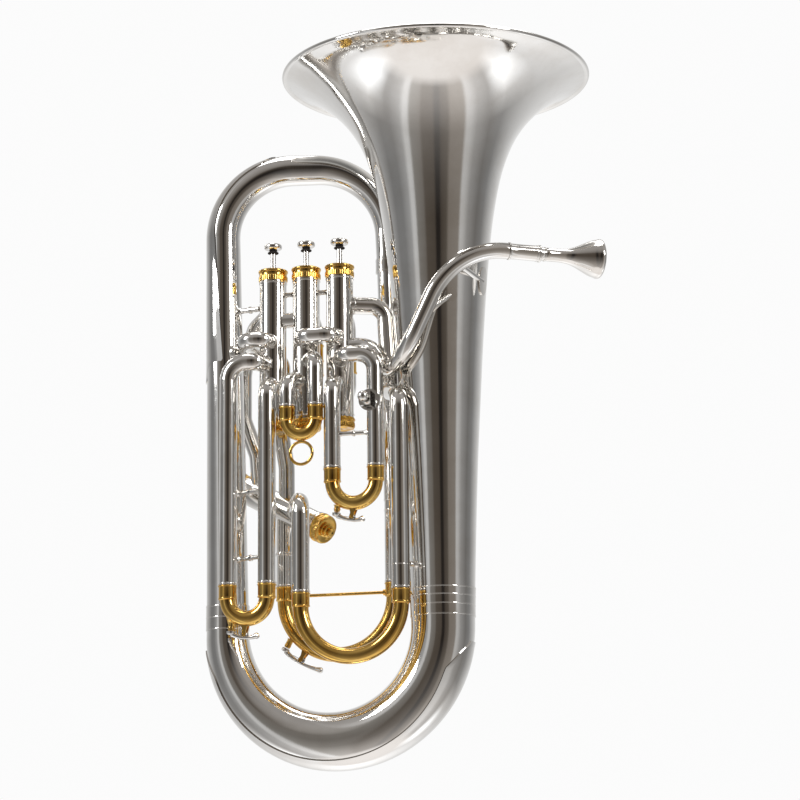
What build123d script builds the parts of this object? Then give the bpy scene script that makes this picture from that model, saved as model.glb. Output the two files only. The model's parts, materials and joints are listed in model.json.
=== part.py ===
from build123d import *
import math
import os

os.makedirs("parts", exist_ok=True)

# Four-valve tenor tuba (euphonium), silver with gold trim, all in millimetres.
# Origin: lowest point of the bottom bow, where a stand cradles it.
# +Z up the bell, +X towards the bell and the mouthpiece, -Y the front.

# ---------------------------------------------------------------- big tubing
WALL = 0.75
BELL_X = 105.5
BELL_TOP = 682.0
BELL_RADIUS = 152.4
BEAD_RADIUS = 2.2
BEAD_FLAT = 0.24
JOINT_Z = 150.0
BRANCH_X = -108.5
BOW_Z = 135.9
BOW_RADIUS = (BELL_X - BRANCH_X) / 2
BOW_X = (BELL_X + BRANCH_X) / 2
BOW_BIG_R = 30.5
BOW_SMALL_R = 20.5
BRANCH_TOP_X = -114.5
BRANCH_TOP_Z = 532.0
BRANCH_TOP_R = 16.6
TOP_BOW_WIDTH = 164.0
TOP_BOW_BEND = 70.0
TOP_BOW_TURN = 12.0
TOP_BOW_END_Z = 500.0
TOP_BOW_END_R = 10.8
TOP_STEPS = 4
SHOULDER_END = 3
INNER_END = (52.5, 20.0, 262.0)
GUARD_THICK = 1.2

# ---------------------------------------------------------------- valves
VALVE_X = (8.8, -25.2, -59.2)
VALVE_Y = -12.0
VALVE_FOOT = 328.0
VALVE_LENGTH = 164.0
CASING_OD = 26.6
CASING_BORE = 23.6
PISTON_OD = 23.5
CAP_OD = 28.6
STEM_OD = 5.4
STEM_HOLE = 5.5
BUTTON_OD = 17.6
FOURTH_FOOT = Vector(-8.6, 0.0, 231.5)
FOURTH_AXIS = Vector(-0.82, 0.36, 0.445).normalized()
FOURTH_LENGTH = 128.0

# ---------------------------------------------------------------- slides
LEG_FIT = 0.05
LEG_WALL = 0.55
SLEEVE_WALL = 0.55
FERRULE_LONG = 14.0
SLIDE_GAP = 0.4
SLIDE_1 = {"x": (8.9, 51.7), "y": -42.0, "ring": 284.0, "legs": 66.0, "od": 16.2}
SLIDE_2 = {"x": (-36.8, -8.3), "y": -40.0, "ring": 347.0, "legs": 16.0, "od": 15.2}
SLIDE_3 = {"x": (-97.0, -57.8), "y": -37.0, "ring": 177.0, "legs": 150.0, "od": 17.2}
SLIDE_4 = {"x": (-23.3, 74.6), "y": -40.0, "ring": 166.5, "legs": 74.0, "od": 17.2}
SLIDE_M = {"x": (-57.0, 52.5), "y": 20.0, "ring": 181.0, "legs": 56.0, "od": 16.6}
TUBE_OD = 16.0
TUBE_BORE = 14.8

# ---------------------------------------------------------------- leadpipe and mouthpiece
PIPE_OD = 15.8
PIPE_BORE = 14.6
PIPE_JOINT = 0.42
PIPE_START = Vector(8.8, -12.0, 410.0)
PIPE_CORNERS = (
    Vector(38.0, -12.0, 410.0),
    Vector(62.0, -28.5, 377.0),
    Vector(88.0, -53.0, 397.0),
    Vector(134.7, -58.0, 489.5),
)
PIPE_END = Vector(210.0, -15.0, 487.5)
PIPE_BENDS = (22.0, 18.0, 45.0, 74.0)
RECEIVER_LONG = 33.0
RECEIVER_OD = 15.4
SHANK_DEEP = 22.0
RIM_OD = 38.6
CUP_MOUTH = 25.6


# ---------------------------------------------------------------- helpers
class Bends:
    """Centreline of straight runs joined by tangent arcs, one radius for each inner corner."""

    def __init__(self, points, radii):
        pts = [Vector(*p) if isinstance(p, tuple) else p for p in points]
        self.runs = []
        self.arcs = []
        start = pts[0]
        for i in range(1, len(pts) - 1):
            back = (pts[i - 1] - pts[i]).normalized()
            ahead = (pts[i + 1] - pts[i]).normalized()
            half = math.acos(max(-1.0, min(1.0, back.dot(ahead)))) / 2
            radius = radii[i - 1]
            enter = pts[i] + back * (radius / math.tan(half))
            leave = pts[i] + ahead * (radius / math.tan(half))
            centre = pts[i] + (back + ahead).normalized() * (radius / math.sin(half))
            axis = ahead.cross(back).normalized()
            if (enter - start).length > 0.01:
                self.runs.append((start, enter))
            self.arcs.append((enter, back * -1, centre, axis, 180 - 2 * math.degrees(half)))
            start = leave
        if (pts[-1] - start).length > 0.01:
            self.runs.append((start, pts[-1]))

    def solid(self, across):
        """Solid bar of one diameter along the centreline."""
        body = Part()
        for start, end in self.runs:
            place = Plane(origin=start, z_dir=(end - start).normalized())
            body = body + place * extrude(Circle(across / 2), (end - start).length)
        for enter, heading, centre, axis, angle in self.arcs:
            face = Plane(origin=enter, z_dir=heading) * Circle(across / 2)
            body = body + revolve(face, Axis(centre, axis), angle)
        return body

    def tube(self, outside, bore):
        """Round tube of constant section along the centreline."""
        ring = Circle(outside / 2) - Circle(bore / 2)
        body = Part()
        for start, end in self.runs:
            place = Plane(origin=start, z_dir=(end - start).normalized())
            body = body + place * extrude(ring, (end - start).length)
        for enter, heading, centre, axis, angle in self.arcs:
            face = Plane(origin=enter, z_dir=heading) * ring
            body = body + revolve(face, Axis(centre, axis), angle)
        return body


def rod(start, end, radius):
    """Solid round bar from one point to another."""
    a = Vector(*start)
    b = Vector(*end)
    place = Plane(origin=a, z_dir=(b - a).normalized())
    return place * extrude(Circle(radius), (b - a).length)


def ring_at(point, axis, outside, bore, long):
    """Flat collar whose lower face sits on the point."""
    place = Plane(origin=Vector(*point), z_dir=Vector(*axis))
    return place * extrude(Circle(outside / 2) - Circle(bore / 2), long)


def upright_tube(x, y, z0, z1, outside, bore):
    """Vertical tube between two heights."""
    return ring_at((x, y, z0), (0, 0, 1), outside, bore, z1 - z0)


def loft_rings(stations, grow=0.0, ruled=False):
    """Skin over circles given as point, direction and radius."""
    faces = []
    for point, direction, radius in stations:
        place = Plane(origin=point, z_dir=direction)
        faces.append(Face(Wire.make_circle(radius + grow, place)))
    return Solid.make_loft([f.outer_wire() for f in faces], ruled)


def horn(stations, ruled=False):
    """Hollow conical tube through the stations."""
    return Part() + loft_rings(stations, 0.0, ruled) - loft_rings(stations, -WALL, ruled)


def save(node, *solids):
    """Write one node, keeping its pieces as separate solids."""
    pieces = []
    for item in solids:
        pieces.extend(item.solids())
    shape = pieces[0] if len(pieces) == 1 else Compound(children=pieces)
    export_step(shape, f"parts/{node}.step")


# ---------------------------------------------------------------- bell
BELL_PROFILE = (
    (150.0, 30.5),
    (215.0, 32.6),
    (292.0, 35.8),
    (351.0, 39.2),
    (412.0, 43.0),
    (480.0, 48.4),
    (538.0, 55.2),
    (583.0, 64.6),
    (616.0, 77.6),
    (640.0, 94.0),
    (660.0, 115.0),
    (673.0, 135.0),
    (679.4, 149.6),
)
outer_points = [Vector(r, 0, z) for z, r in BELL_PROFILE]
outer_curve = Edge.make_spline(outer_points, tangents=[Vector(0.03, 0, 1), Vector(1, 0, 0.34)])
inner_points = []
for step in range(21):
    u = step / 20
    tangent = outer_curve.tangent_at(u)
    normal = Vector(-tangent.Z, 0, tangent.X).normalized()
    inner_points.append(outer_curve.position_at(u) + normal * WALL)
inner_curve = Edge.make_spline(inner_points)
foot_line = Edge.make_line(outer_curve.position_at(0), inner_curve.position_at(0))
lip_line = Edge.make_line(outer_curve.position_at(1), inner_curve.position_at(1))
bell_face = Face(Wire([outer_curve, lip_line, inner_curve, foot_line]))
bell_skin = revolve(bell_face, Axis.Z, 360)
bead_z = BELL_TOP - BEAD_RADIUS + BEAD_FLAT
bead = Solid.make_torus(BELL_RADIUS - BEAD_RADIUS, BEAD_RADIUS, Plane((0, 0, bead_z)))
bell = Part() + bell_skin + bead
bell = bell - Pos(0, 0, BELL_TOP + 5) * Box(400, 400, 10)
save("bell", Pos(BELL_X, 0, 0) * bell)

# ---------------------------------------------------------------- bottom bow
UP = Vector(0, 0, 1)
BOW_STEPS = 8


def bow_radius(share):
    return BOW_SMALL_R + (BOW_BIG_R - BOW_SMALL_R) * (1 - share ** 1.8)


bow_stations = [(Vector(BELL_X, 0, JOINT_Z), Vector(0, 0, -1), BOW_BIG_R)]
for step in range(BOW_STEPS + 1):
    share = step / BOW_STEPS
    angle = math.pi * share
    place = Vector(BOW_X + BOW_RADIUS * math.cos(angle), 0, BOW_Z - BOW_RADIUS * math.sin(angle))
    heading = Vector(-math.sin(angle), 0, -math.cos(angle))
    bow_stations.append((place, heading, bow_radius(share)))
bow_stations.append((Vector(BRANCH_X, 0, JOINT_Z), UP, BOW_SMALL_R))
save("bottom_bow", horn(bow_stations))

# guard plate over the outer side of the bottom bow, open towards the inside
guard = Part() + loft_rings(bow_stations, GUARD_THICK) - loft_rings(bow_stations)
guard_inside = Pos(BOW_X, 0, BOW_Z - 8) * Rot(90, 0, 0) * Cylinder(BOW_RADIUS + 14, 120)
guard = guard - guard_inside
guard = guard - Pos(BOW_X, 0, 180) * Box(400, 120, 116)
save("bottom_guard", guard)

# ---------------------------------------------------------------- left branch
branch_stations = []
for step in range(3):
    share = step / 2
    place = Vector(
        BRANCH_X + (BRANCH_TOP_X - BRANCH_X) * share,
        0,
        JOINT_Z + (BRANCH_TOP_Z - JOINT_Z) * share,
    )
    branch_stations.append((place, UP, BOW_SMALL_R + (BRANCH_TOP_R - BOW_SMALL_R) * share))
save("outer_branch", horn(branch_stations, ruled=True))

# ---------------------------------------------------------------- top bow
turn = math.radians(TOP_BOW_TURN)
ALONG = Vector(math.cos(turn), math.sin(turn), 0)
top_base = Vector(BRANCH_TOP_X, 0, BRANCH_TOP_Z)
top_stations = []
left_centre = top_base + ALONG * TOP_BOW_BEND
for step in range(TOP_STEPS + 1):
    angle = math.pi / 2 * step / TOP_STEPS
    place = left_centre - ALONG * (TOP_BOW_BEND * math.cos(angle)) + UP * (TOP_BOW_BEND * math.sin(angle))
    heading = ALONG * math.sin(angle) + UP * math.cos(angle)
    top_stations.append((place, heading, 16.6 - 1.2 * step / TOP_STEPS))
right_centre = top_base + ALONG * (TOP_BOW_WIDTH - TOP_BOW_BEND)
for step in range(TOP_STEPS + 1):
    angle = math.pi / 2 * step / TOP_STEPS
    place = right_centre + ALONG * (TOP_BOW_BEND * math.sin(angle)) + UP * (TOP_BOW_BEND * math.cos(angle))
    heading = ALONG * math.cos(angle) - UP * math.sin(angle)
    top_stations.append((place, heading, 15.0 - 3.0 * step / TOP_STEPS))
top_end = top_base + ALONG * TOP_BOW_WIDTH + UP * (TOP_BOW_END_Z - BRANCH_TOP_Z)
top_stations.append((top_end, UP * -1, TOP_BOW_END_R))
save("top_bow", horn(top_stations))

# ---------------------------------------------------------------- inner branch
inner_end = Vector(*INNER_END)
INNER_RADII = ((0.0, 10.8), (0.25, 9.9), (0.6, 9.0), (1.0, 8.6))
inner_stations = []
for share, radius in INNER_RADII:
    inner_stations.append((top_end + (inner_end - top_end) * share, UP * -1, radius))
save("inner_branch", horn(inner_stations, ruled=True))

# ---------------------------------------------------------------- ferrules of the big tubing
def collar(x, y, z0, z1, bore_r, thick, lips):
    """Ferrule with raised beads at the given heights."""
    body = upright_tube(x, y, z0, z1, 2 * (bore_r + thick), 2 * bore_r)
    for lip in lips:
        body = body + upright_tube(x, y, lip, lip + 1.6, 2 * (bore_r + thick + 0.7), 2 * bore_r)
    return body


bow_core = loft_rings(bow_stations)
branch_core = loft_rings(branch_stations, 0.0, True)
top_core = loft_rings(top_stations)
inner_core = loft_rings(inner_stations, 0.0, True)
bell_shape = Face(
    Wire(
        [
            outer_curve,
            Edge.make_line(outer_curve.position_at(1), Vector(0, 0, BELL_PROFILE[-1][0])),
            Edge.make_line(Vector(0, 0, BELL_PROFILE[-1][0]), Vector(0, 0, JOINT_Z)),
            Edge.make_line(Vector(0, 0, JOINT_Z), outer_curve.position_at(0)),
        ]
    )
)
bell_core = Pos(BELL_X, 0, 0) * revolve(bell_shape, Axis.Z, 360)
bell_collar = collar(BELL_X, 0, 142.0, 170.0, 30.0, 2.4, (142.0, 152.0, 160.5, 168.4))
bell_collar = bell_collar - bell_core - bow_core
branch_collar = collar(BRANCH_X, 0, 137.5, 162.0, 19.8, 2.0, (137.5, 149.0, 160.4))
branch_collar = branch_collar - branch_core - bow_core
top_right_collar = collar(top_end.X, top_end.Y, 493.0, 507.0, 10.4, 2.2, (493.0, 505.4))
top_right_collar = top_right_collar - top_core - inner_core
save("bow_ferrules", bell_collar, branch_collar, top_right_collar)

# strip over the outside of the left branch and the shoulder of the top bow
branch_strip = Part() + loft_rings(branch_stations, GUARD_THICK, True) - branch_core
branch_strip = branch_strip - Pos(BRANCH_X, 0, 235) * Box(80, 80, 212)
branch_strip = branch_strip - Pos(-50, 0, 430) * Box(106, 120, 300)
branch_strip = branch_strip - Pos(-100, 0, 361.5) * Box(120, 120, 45)
shoulder = Part() + loft_rings(top_stations, GUARD_THICK) - top_core
_, shoulder_heading, _ = top_stations[SHOULDER_END]
beyond = Plane(origin=left_centre, z_dir=shoulder_heading) * Pos(0, 0, 150) * Box(500, 500, 300)
shoulder = shoulder - beyond
hollow = Plane(origin=left_centre, x_dir=ALONG, z_dir=ALONG.cross(UP)) * Cylinder(TOP_BOW_BEND + 9.0, 160)
shoulder = shoulder - hollow
save("side_guard", Part() + branch_strip + shoulder)


# ---------------------------------------------------------------- valves
def valve_shell(length):
    """Casing tube standing between its two screwed caps, foot face at zero."""
    low = 4.0
    high = length - 4.0
    shell = ring_at((0, 0, low), (0, 0, 1), CASING_OD, CASING_BORE, high - low)
    for lip in (13.0, length - 15.0):
        shell = shell + ring_at((0, 0, lip), (0, 0, 1), CASING_OD + 1.4, CASING_BORE, 1.8)
    return shell


def bottom_cap():
    """Knurled screw cap closing the foot, with a small vent."""
    cap = Pos(0, 0, 5.5) * Cylinder(CAP_OD / 2, 11)
    cap = cap - Pos(0, 0, 8.5) * Cylinder(CASING_OD / 2, 9)
    cap = cap - Pos(0, 0, 6.5) * Cylinder(CASING_BORE / 2, 9.0)
    cap = cap - Pos(0, 0, 1) * Cylinder(2.0, 6)
    for lip in (1.2, 8.2):
        cap = cap + ring_at((0, 0, lip), (0, 0, 1), CAP_OD + 0.8, CAP_OD, 1.4)
    return cap


def top_cap(length):
    """Screw cap over the head, bored for the stem."""
    cap = Pos(0, 0, length - 6) * Cylinder(CAP_OD / 2, 12)
    cap = cap - Pos(0, 0, length - 8) * Cylinder(CASING_OD / 2, 8)
    cap = cap - Pos(0, 0, length - 6.5) * Cylinder(CASING_BORE / 2, 8)
    cap = cap - Pos(0, 0, length) * Cylinder(STEM_HOLE / 2, 20)
    for lip in (length - 11.0, length - 3.2):
        cap = cap + ring_at((0, 0, lip), (0, 0, 1), CAP_OD + 0.8, CAP_OD, 1.4)
    return cap


def piston(length):
    """Hollow ported plunger, shown at rest below the top cap."""
    high = length - 22.0
    low = 22.0
    bore_r = PISTON_OD / 2 - 0.9
    body = Pos(0, 0, (low + high) / 2) * Cylinder(PISTON_OD / 2, high - low)
    inner = Pos(0, 0, (low + high) / 2) * Cylinder(bore_r, high - low - 3.0)
    barrel = body
    body = body - inner
    middle = (low + high) / 2
    for lift, spin in ((-22.0, 0), (0.0, 60), (22.0, 120)):
        port = Pos(0, 0, middle + lift) * Rot(0, 0, spin) * Rot(0, 90, 0)
        body = body + ((port * Cylinder(8.0, 40)) & barrel)
    for lift, spin in ((-22.0, 0), (0.0, 60), (22.0, 120)):
        port = Pos(0, 0, middle + lift) * Rot(0, 0, spin) * Rot(0, 90, 0)
        body = body - port * Cylinder(7.3, 40)
    return body


def stem(length):
    """Stem with its round finger button on top."""
    base = length - 22.0
    rise = length + 20.0
    shape = Pos(0, 0, (base + rise) / 2) * Cylinder(STEM_OD / 2, rise - base)
    shape = shape + Pos(0, 0, rise + 0.5) * Cone(STEM_OD / 2, 5.6, 3.0)
    shape = shape + Pos(0, 0, rise + 3.5) * Cylinder(BUTTON_OD / 2, 3.6)
    shape = shape + Pos(0, 0, rise + 5.9) * Cylinder(BUTTON_OD / 2 - 1.2, 1.6)
    return shape


def valve_place(index):
    if index == 3:
        return Plane(origin=FOURTH_FOOT, z_dir=FOURTH_AXIS)
    return Plane(origin=(VALVE_X[index], VALVE_Y, VALVE_FOOT))


lengths = (VALVE_LENGTH, VALVE_LENGTH, VALVE_LENGTH, FOURTH_LENGTH)
top_caps = []
bottom_caps = []
for index, length in enumerate(lengths):
    place = valve_place(index)
    number = index + 1
    save(f"valve_casing_{number}", place * valve_shell(length))
    save(f"piston_{number}", place * piston(length))
    save(f"stem_{number}", place * stem(length))
    top_caps.append(place * top_cap(length))
    cap = bottom_cap()
    if index == 3:
        knob = Pos(0, 0, -1.6) * Cylinder(6.2, 3.2) + Pos(0, 0, -5.4) * Cylinder(4.6, 4.4)
        cap = cap + knob
    bottom_caps.append(place * cap)
save("valve_top_caps", *top_caps)
save("valve_bottom_caps", *bottom_caps)

casing_cores = []
for index, length in enumerate(lengths):
    core = Pos(0, 0, length / 2) * Cylinder(CASING_OD / 2, length - 6)
    casing_cores.append(valve_place(index) * core)


def trim(shape, *cores):
    """Cut a piece back to the surfaces it is soldered to, keeping the largest rest."""
    rest = shape.solids()
    for core in cores:
        cut = []
        for piece in rest:
            cut.extend((Part() + piece - core).solids())
        rest = cut
    rest = sorted(rest, key=lambda piece: piece.volume)
    return rest[-1] if rest else None


def strut(start, end, radius, foot, flare, *cores):
    """Turned brace with flared solder feet, cut back to what it joins."""
    a = Vector(*start)
    b = Vector(*end)
    long = (b - a).length
    outline = [(0.0, 0.0), (foot, 0.0), (radius, flare)]
    if long > 4 * flare:
        middle = long / 2
        outline += [(radius, middle - 1.6), (radius + 1.0, middle - 0.8)]
        outline += [(radius + 1.0, middle + 0.8), (radius, middle + 1.6)]
    outline += [(radius, long - flare), (foot, long), (0.0, long)]
    face = Face(Wire.make_polygon([Vector(r, 0, z) for r, z in outline], close=True))
    place = Plane(origin=a, z_dir=(b - a).normalized())
    return trim(place * revolve(face, Axis.Z, 360), *cores)


# ---------------------------------------------------------------- turned spacers between the casings
spacers = []
for left, right in ((2, 1), (1, 0)):
    x0 = VALVE_X[left] + CASING_OD / 2 - 2.0
    x1 = VALVE_X[right] - CASING_OD / 2 + 2.0
    for height in (352.0, 466.0):
        start = (x0, VALVE_Y, height)
        end = (x1, VALVE_Y, height)
        spacers.append(strut(start, end, 2.4, 4.2, 3.6, casing_cores[left], casing_cores[right]))
save("valve_spacers", *spacers)

# ---------------------------------------------------------------- knuckles joining the valves
front_knuckle = Bends(
    (
        (VALVE_X[0], VALVE_Y, 417.0),
        (VALVE_X[0], -37.0, 417.0),
        (VALVE_X[1], -37.0, 417.0),
        (VALVE_X[1], VALVE_Y, 417.0),
    ),
    (12.0, 12.0),
)
knuckle_front = trim(front_knuckle.tube(TUBE_OD, TUBE_BORE), casing_cores[0], casing_cores[1])
short_run = Bends(((VALVE_X[2], VALVE_Y, 440.0), (VALVE_X[1], VALVE_Y, 440.0)), ())
knuckle_short = trim(short_run.tube(15.0, 13.8), casing_cores[2], casing_cores[1])
save("valve_knuckles", knuckle_front, knuckle_short)

feed_path = Bends(
    (
        (VALVE_X[2], VALVE_Y, 417.0),
        (VALVE_X[2], -35.0, 417.0),
        (-84.0, -35.0, 417.0),
        (-84.0, 14.0, 412.0),
        (-57.5, 14.0, 408.0),
        (-57.5, 14.0, 325.0),
        (-55.0, 20.5, 300.0),
        (-55.0, 20.5, 256.0),
    ),
    (11.0, 11.0, 12.0, 12.0, 30.0, 30.0),
)
feed_tube = feed_path.tube(TUBE_OD, TUBE_BORE)
save("fourth_feed_tube", trim(feed_tube, casing_cores[2], casing_cores[3]))

return_path = Bends(
    (
        (VALVE_X[2], VALVE_Y, 466.0),
        (-60.0, 12.0, 464.0),
        (-88.0, 20.0, 442.0),
        (-103.0, 32.0, 400.0),
        (-103.0, 32.0, 352.0),
        (-90.0, 35.0, 316.0),
        (-86.5, 34.2, 274.0),
    ),
    (12.0, 14.0, 24.0, 24.0, 24.0),
)
return_tube = return_path.tube(TUBE_OD, TUBE_BORE)
save("compensating_return", trim(return_tube, casing_cores[2], casing_cores[3]))

# ---------------------------------------------------------------- small compensating loops at the back
LOOP_Y = 22.0
LOOP_OD = 14.0
loop_legs = []
loop_bows = []
for index in (0, 1):
    x = VALVE_X[index]
    high = Bends(((x, VALVE_Y, 444.0), (x, LOOP_Y, 444.0), (x, LOOP_Y, 422.0)), (12.0,))
    low = Bends(((x, VALVE_Y, 368.0), (x, LOOP_Y, 368.0), (x, LOOP_Y, 390.0)), (12.0,))
    loop_legs.append(trim(high.tube(LOOP_OD, 12.8), casing_cores[index]))
    loop_legs.append(trim(low.tube(LOOP_OD, 12.8), casing_cores[index]))
    middle = upright_tube(x, LOOP_Y, 390.0, 422.0, LOOP_OD, 12.8)
    for lip in (390.0, 404.5, 420.0):
        middle = middle + upright_tube(x, LOOP_Y, lip, lip + 2.0, LOOP_OD + 1.4, 12.8)
    loop_bows.append(middle)
save("compensating_loops", *loop_legs)
save("compensating_bows", *loop_bows)

# ---------------------------------------------------------------- leadpipe
pipe_split = PIPE_CORNERS[0] + (PIPE_CORNERS[1] - PIPE_CORNERS[0]) * PIPE_JOINT
mouth_axis = (PIPE_END - PIPE_CORNERS[3]).normalized()
receiver_start = PIPE_END - mouth_axis * RECEIVER_LONG
entry_path = Bends((PIPE_START, PIPE_CORNERS[0], pipe_split), PIPE_BENDS[:1])
save("leadpipe_entry", trim(entry_path.tube(PIPE_OD, PIPE_BORE), casing_cores[0]))
lead_path = Bends((pipe_split, *PIPE_CORNERS[1:], receiver_start), PIPE_BENDS[1:])
save("leadpipe", lead_path.tube(PIPE_OD, PIPE_BORE))
joint_axis = (PIPE_CORNERS[1] - PIPE_CORNERS[0]).normalized()
joint_ring = ring_at(pipe_split - joint_axis * 5.5, joint_axis, PIPE_OD + 1.8, PIPE_OD, 11.0)
for lift in (-5.5, 3.9):
    joint_ring = joint_ring + ring_at(pipe_split + joint_axis * lift, joint_axis, PIPE_OD + 3.0, PIPE_OD, 1.6)
save("leadpipe_ferrule", joint_ring)


def turned(profile, origin, axis):
    """Revolve a closed outline of along-axis and radius pairs about an axis."""
    points = [Vector(radius, 0, along) for along, radius in profile]
    outline = Face(Wire.make_polygon(points, close=True))
    return Plane(origin=origin, z_dir=axis) * revolve(outline, Axis.Z, 360)


receiver_profile = (
    (0.0, PIPE_BORE / 2),
    (0.0, RECEIVER_OD / 2 + 0.9),
    (2.2, RECEIVER_OD / 2 + 0.9),
    (2.2, RECEIVER_OD / 2),
    (RECEIVER_LONG - 2.6, RECEIVER_OD / 2),
    (RECEIVER_LONG - 2.6, RECEIVER_OD / 2 + 0.8),
    (RECEIVER_LONG, RECEIVER_OD / 2 + 0.8),
    (RECEIVER_LONG, 6.70),
    (RECEIVER_LONG - SHANK_DEEP - 1.0, 6.34),
    (RECEIVER_LONG - SHANK_DEEP - 1.0, 6.0),
    (4.0, 6.0),
)
save("mouthpiece_receiver", turned(receiver_profile, receiver_start, mouth_axis))

mouth_profile = (
    (-22.0, 6.30),
    (0.0, 6.65),
    (3.0, 6.65),
    (4.0, 7.1),
    (5.0, 6.6),
    (22.0, 6.7),
    (28.0, 7.6),
    (34.0, 9.4),
    (42.0, 13.0),
    (50.0, 16.9),
    (54.5, 18.7),
    (57.5, RIM_OD / 2),
    (59.6, RIM_OD / 2),
    (61.2, 18.2),
    (61.8, 16.4),
    (61.4, 14.4),
    (60.0, 13.1),
    (57.0, CUP_MOUTH / 2),
    (50.0, 12.2),
    (44.0, 10.4),
    (38.0, 6.6),
    (34.5, 3.6),
    (31.0, 3.3),
    (20.0, 3.7),
    (-22.0, 5.4),
)
save("mouthpiece", turned(mouth_profile, PIPE_END, mouth_axis))

# ---------------------------------------------------------------- slides
sleeve_cores = {}


def slide_sizes(slide):
    outside = slide["od"]
    leg = outside - 2 * SLEEVE_WALL - 2 * LEG_FIT
    return outside, outside - 2 * SLEEVE_WALL, leg, leg - 2 * LEG_WALL


def sleeve(slide, side, corners, radii, *cores):
    """Outer slide tube rising from its lip and bending into the valve."""
    outside, bore, leg, inner = slide_sizes(slide)
    x = slide["x"][side]
    foot = (x, slide["y"], slide["ring"] + SLIDE_GAP)
    path = Bends((foot, *corners), radii)
    body = trim(path.tube(outside, bore), *cores)
    lip = upright_tube(x, slide["y"], foot[2], foot[2] + 1.6, outside + 1.4, bore)
    return Part() + body + lip


def slide_legs(slide):
    """Two inner tubes that telescope in the sleeves."""
    outside, bore, leg, inner = slide_sizes(slide)
    low = slide["ring"] - FERRULE_LONG + 2.0
    high = slide["ring"] + slide["legs"]
    return [upright_tube(x, slide["y"], low, high, leg, inner) for x in slide["x"]]


def crook(slide, across, rise):
    """Solid return bend of the given thickness, its ends standing above the turn."""
    x0, x1 = slide["x"]
    y = slide["y"]
    turn_z = slide["ring"] - FERRULE_LONG + 1.0
    start = Plane(origin=(x0, y, turn_z), z_dir=(0, 0, -1)) * Circle(across / 2)
    bend = revolve(start, Axis(((x0 + x1) / 2, y, turn_z), (0, -1, 0)), 180)
    for x in (x0, x1):
        bend = bend + upright_rod(x, y, turn_z, turn_z + rise, across)
    return bend


def upright_rod(x, y, z0, z1, across):
    """Vertical round bar between two heights."""
    return Pos(x, y, (z0 + z1) / 2) * Cylinder(across / 2, z1 - z0)


def crook_size(slide):
    """Outside diameter of the return bend, a little under that of the legs."""
    outside, bore, leg, inner = slide_sizes(slide)
    return leg - 0.9


def slide_bow(slide):
    """Gold ferrules and return bend of one slide, in one piece."""
    outside, bore, leg, inner = slide_sizes(slide)
    top = slide["ring"]
    low = top - FERRULE_LONG
    body = Part() + crook(slide, crook_size(slide), 2.0)
    for x in slide["x"]:
        body = body + upright_rod(x, slide["y"], low, top, outside)
        body = body + upright_rod(x, slide["y"], top - 1.6, top, outside + 1.4)
        body = body + upright_rod(x, slide["y"], low, low + 1.4, outside + 0.8)
    body = body - crook(slide, crook_size(slide) - 1.0, 3.0)
    for x in slide["x"]:
        body = body - upright_rod(x, slide["y"], low + 2.0, top + 1.0, leg)
    return body


KEY_BAR = 5.0
PIN_R = 1.0


def key_frame(slide, pivot_x, pivot_z, tilt):
    return Pos(pivot_x, slide["y"], pivot_z) * Rot(0, -tilt, 0)


def key_lever(slide, pivot_x, pivot_z, tilt, reach, tail):
    """Spring lever of a water key, cork cup at one end and touch at the other."""
    bar = Pos((tail - reach) / 2, 0, 0) * Box(tail + reach, KEY_BAR - 1.4, 2.0)
    hub = Rot(90, 0, 0) * Cylinder(2.6, KEY_BAR)
    cup = Pos(-reach, 0, 1.0) * Cylinder(4.2, 4.0)
    touch = Pos(tail, 0, -0.2) * Cylinder(4.8, 1.8)
    lever = Part() + bar + hub + cup + touch
    lever = lever - Rot(90, 0, 0) * Cylinder(PIN_R + 0.05, KEY_BAR + 2)
    return key_frame(slide, pivot_x, pivot_z, tilt) * lever


def key_mount(slide, pivot_x, pivot_z, tilt, reach, drop, nipple_long):
    """Two ears with a pin, and the drain nipple, soldered under the bend."""
    core = crook(slide, crook_size(slide), 2.0)
    frame = key_frame(slide, pivot_x, pivot_z, tilt)
    ears = Pos(0, 0, (drop + 1.0) / 2 - 1.2) * Box(4.8, KEY_BAR + 3.4, drop + 3.4)
    ears = ears - Pos(0, 0, 0) * Box(8, KEY_BAR + 0.6, 8.4)
    ears = ears + Rot(90, 0, 0) * Cylinder(PIN_R, KEY_BAR + 3.4)
    ears = frame * ears
    nipple = frame * (Pos(-reach, 0, 3.3 + nipple_long / 2) * (Cylinder(3.2, nipple_long)))
    return trim(ears, core), trim(nipple, core)


sleeves_1 = (
    sleeve(SLIDE_1, 0, ((8.9, -42.0, 370.0), (8.8, VALVE_Y, 370.0)), (13.0,), casing_cores[0]),
    sleeve(
        SLIDE_1,
        1,
        ((51.7, -42.0, 395.0), (20.0, -42.0, 395.0), (8.8, VALVE_Y, 395.0)),
        (17.0, 12.0),
        casing_cores[0],
    ),
)
save("first_slide_sleeves", *sleeves_1)
sleeves_2 = (
    sleeve(SLIDE_2, 0, ((-36.8, -40.0, 376.0), (-25.2, VALVE_Y, 376.0)), (13.0,), casing_cores[1]),
    sleeve(SLIDE_2, 1, ((-8.3, -40.0, 396.0), (-25.2, VALVE_Y, 396.0)), (13.0,), casing_cores[1]),
)
save("second_slide_sleeves", *sleeves_2)
sleeves_3 = (
    sleeve(
        SLIDE_3,
        0,
        ((-97.0, -37.0, 395.0), (-70.0, -37.0, 395.0), (-59.2, VALVE_Y, 395.0)),
        (18.0, 9.6),
        casing_cores[2],
    ),
    sleeve(SLIDE_3, 1, ((-57.8, -37.0, 372.0), (-59.2, VALVE_Y, 372.0)), (13.0,), casing_cores[2]),
)
save("third_slide_sleeves", *sleeves_3)
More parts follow.
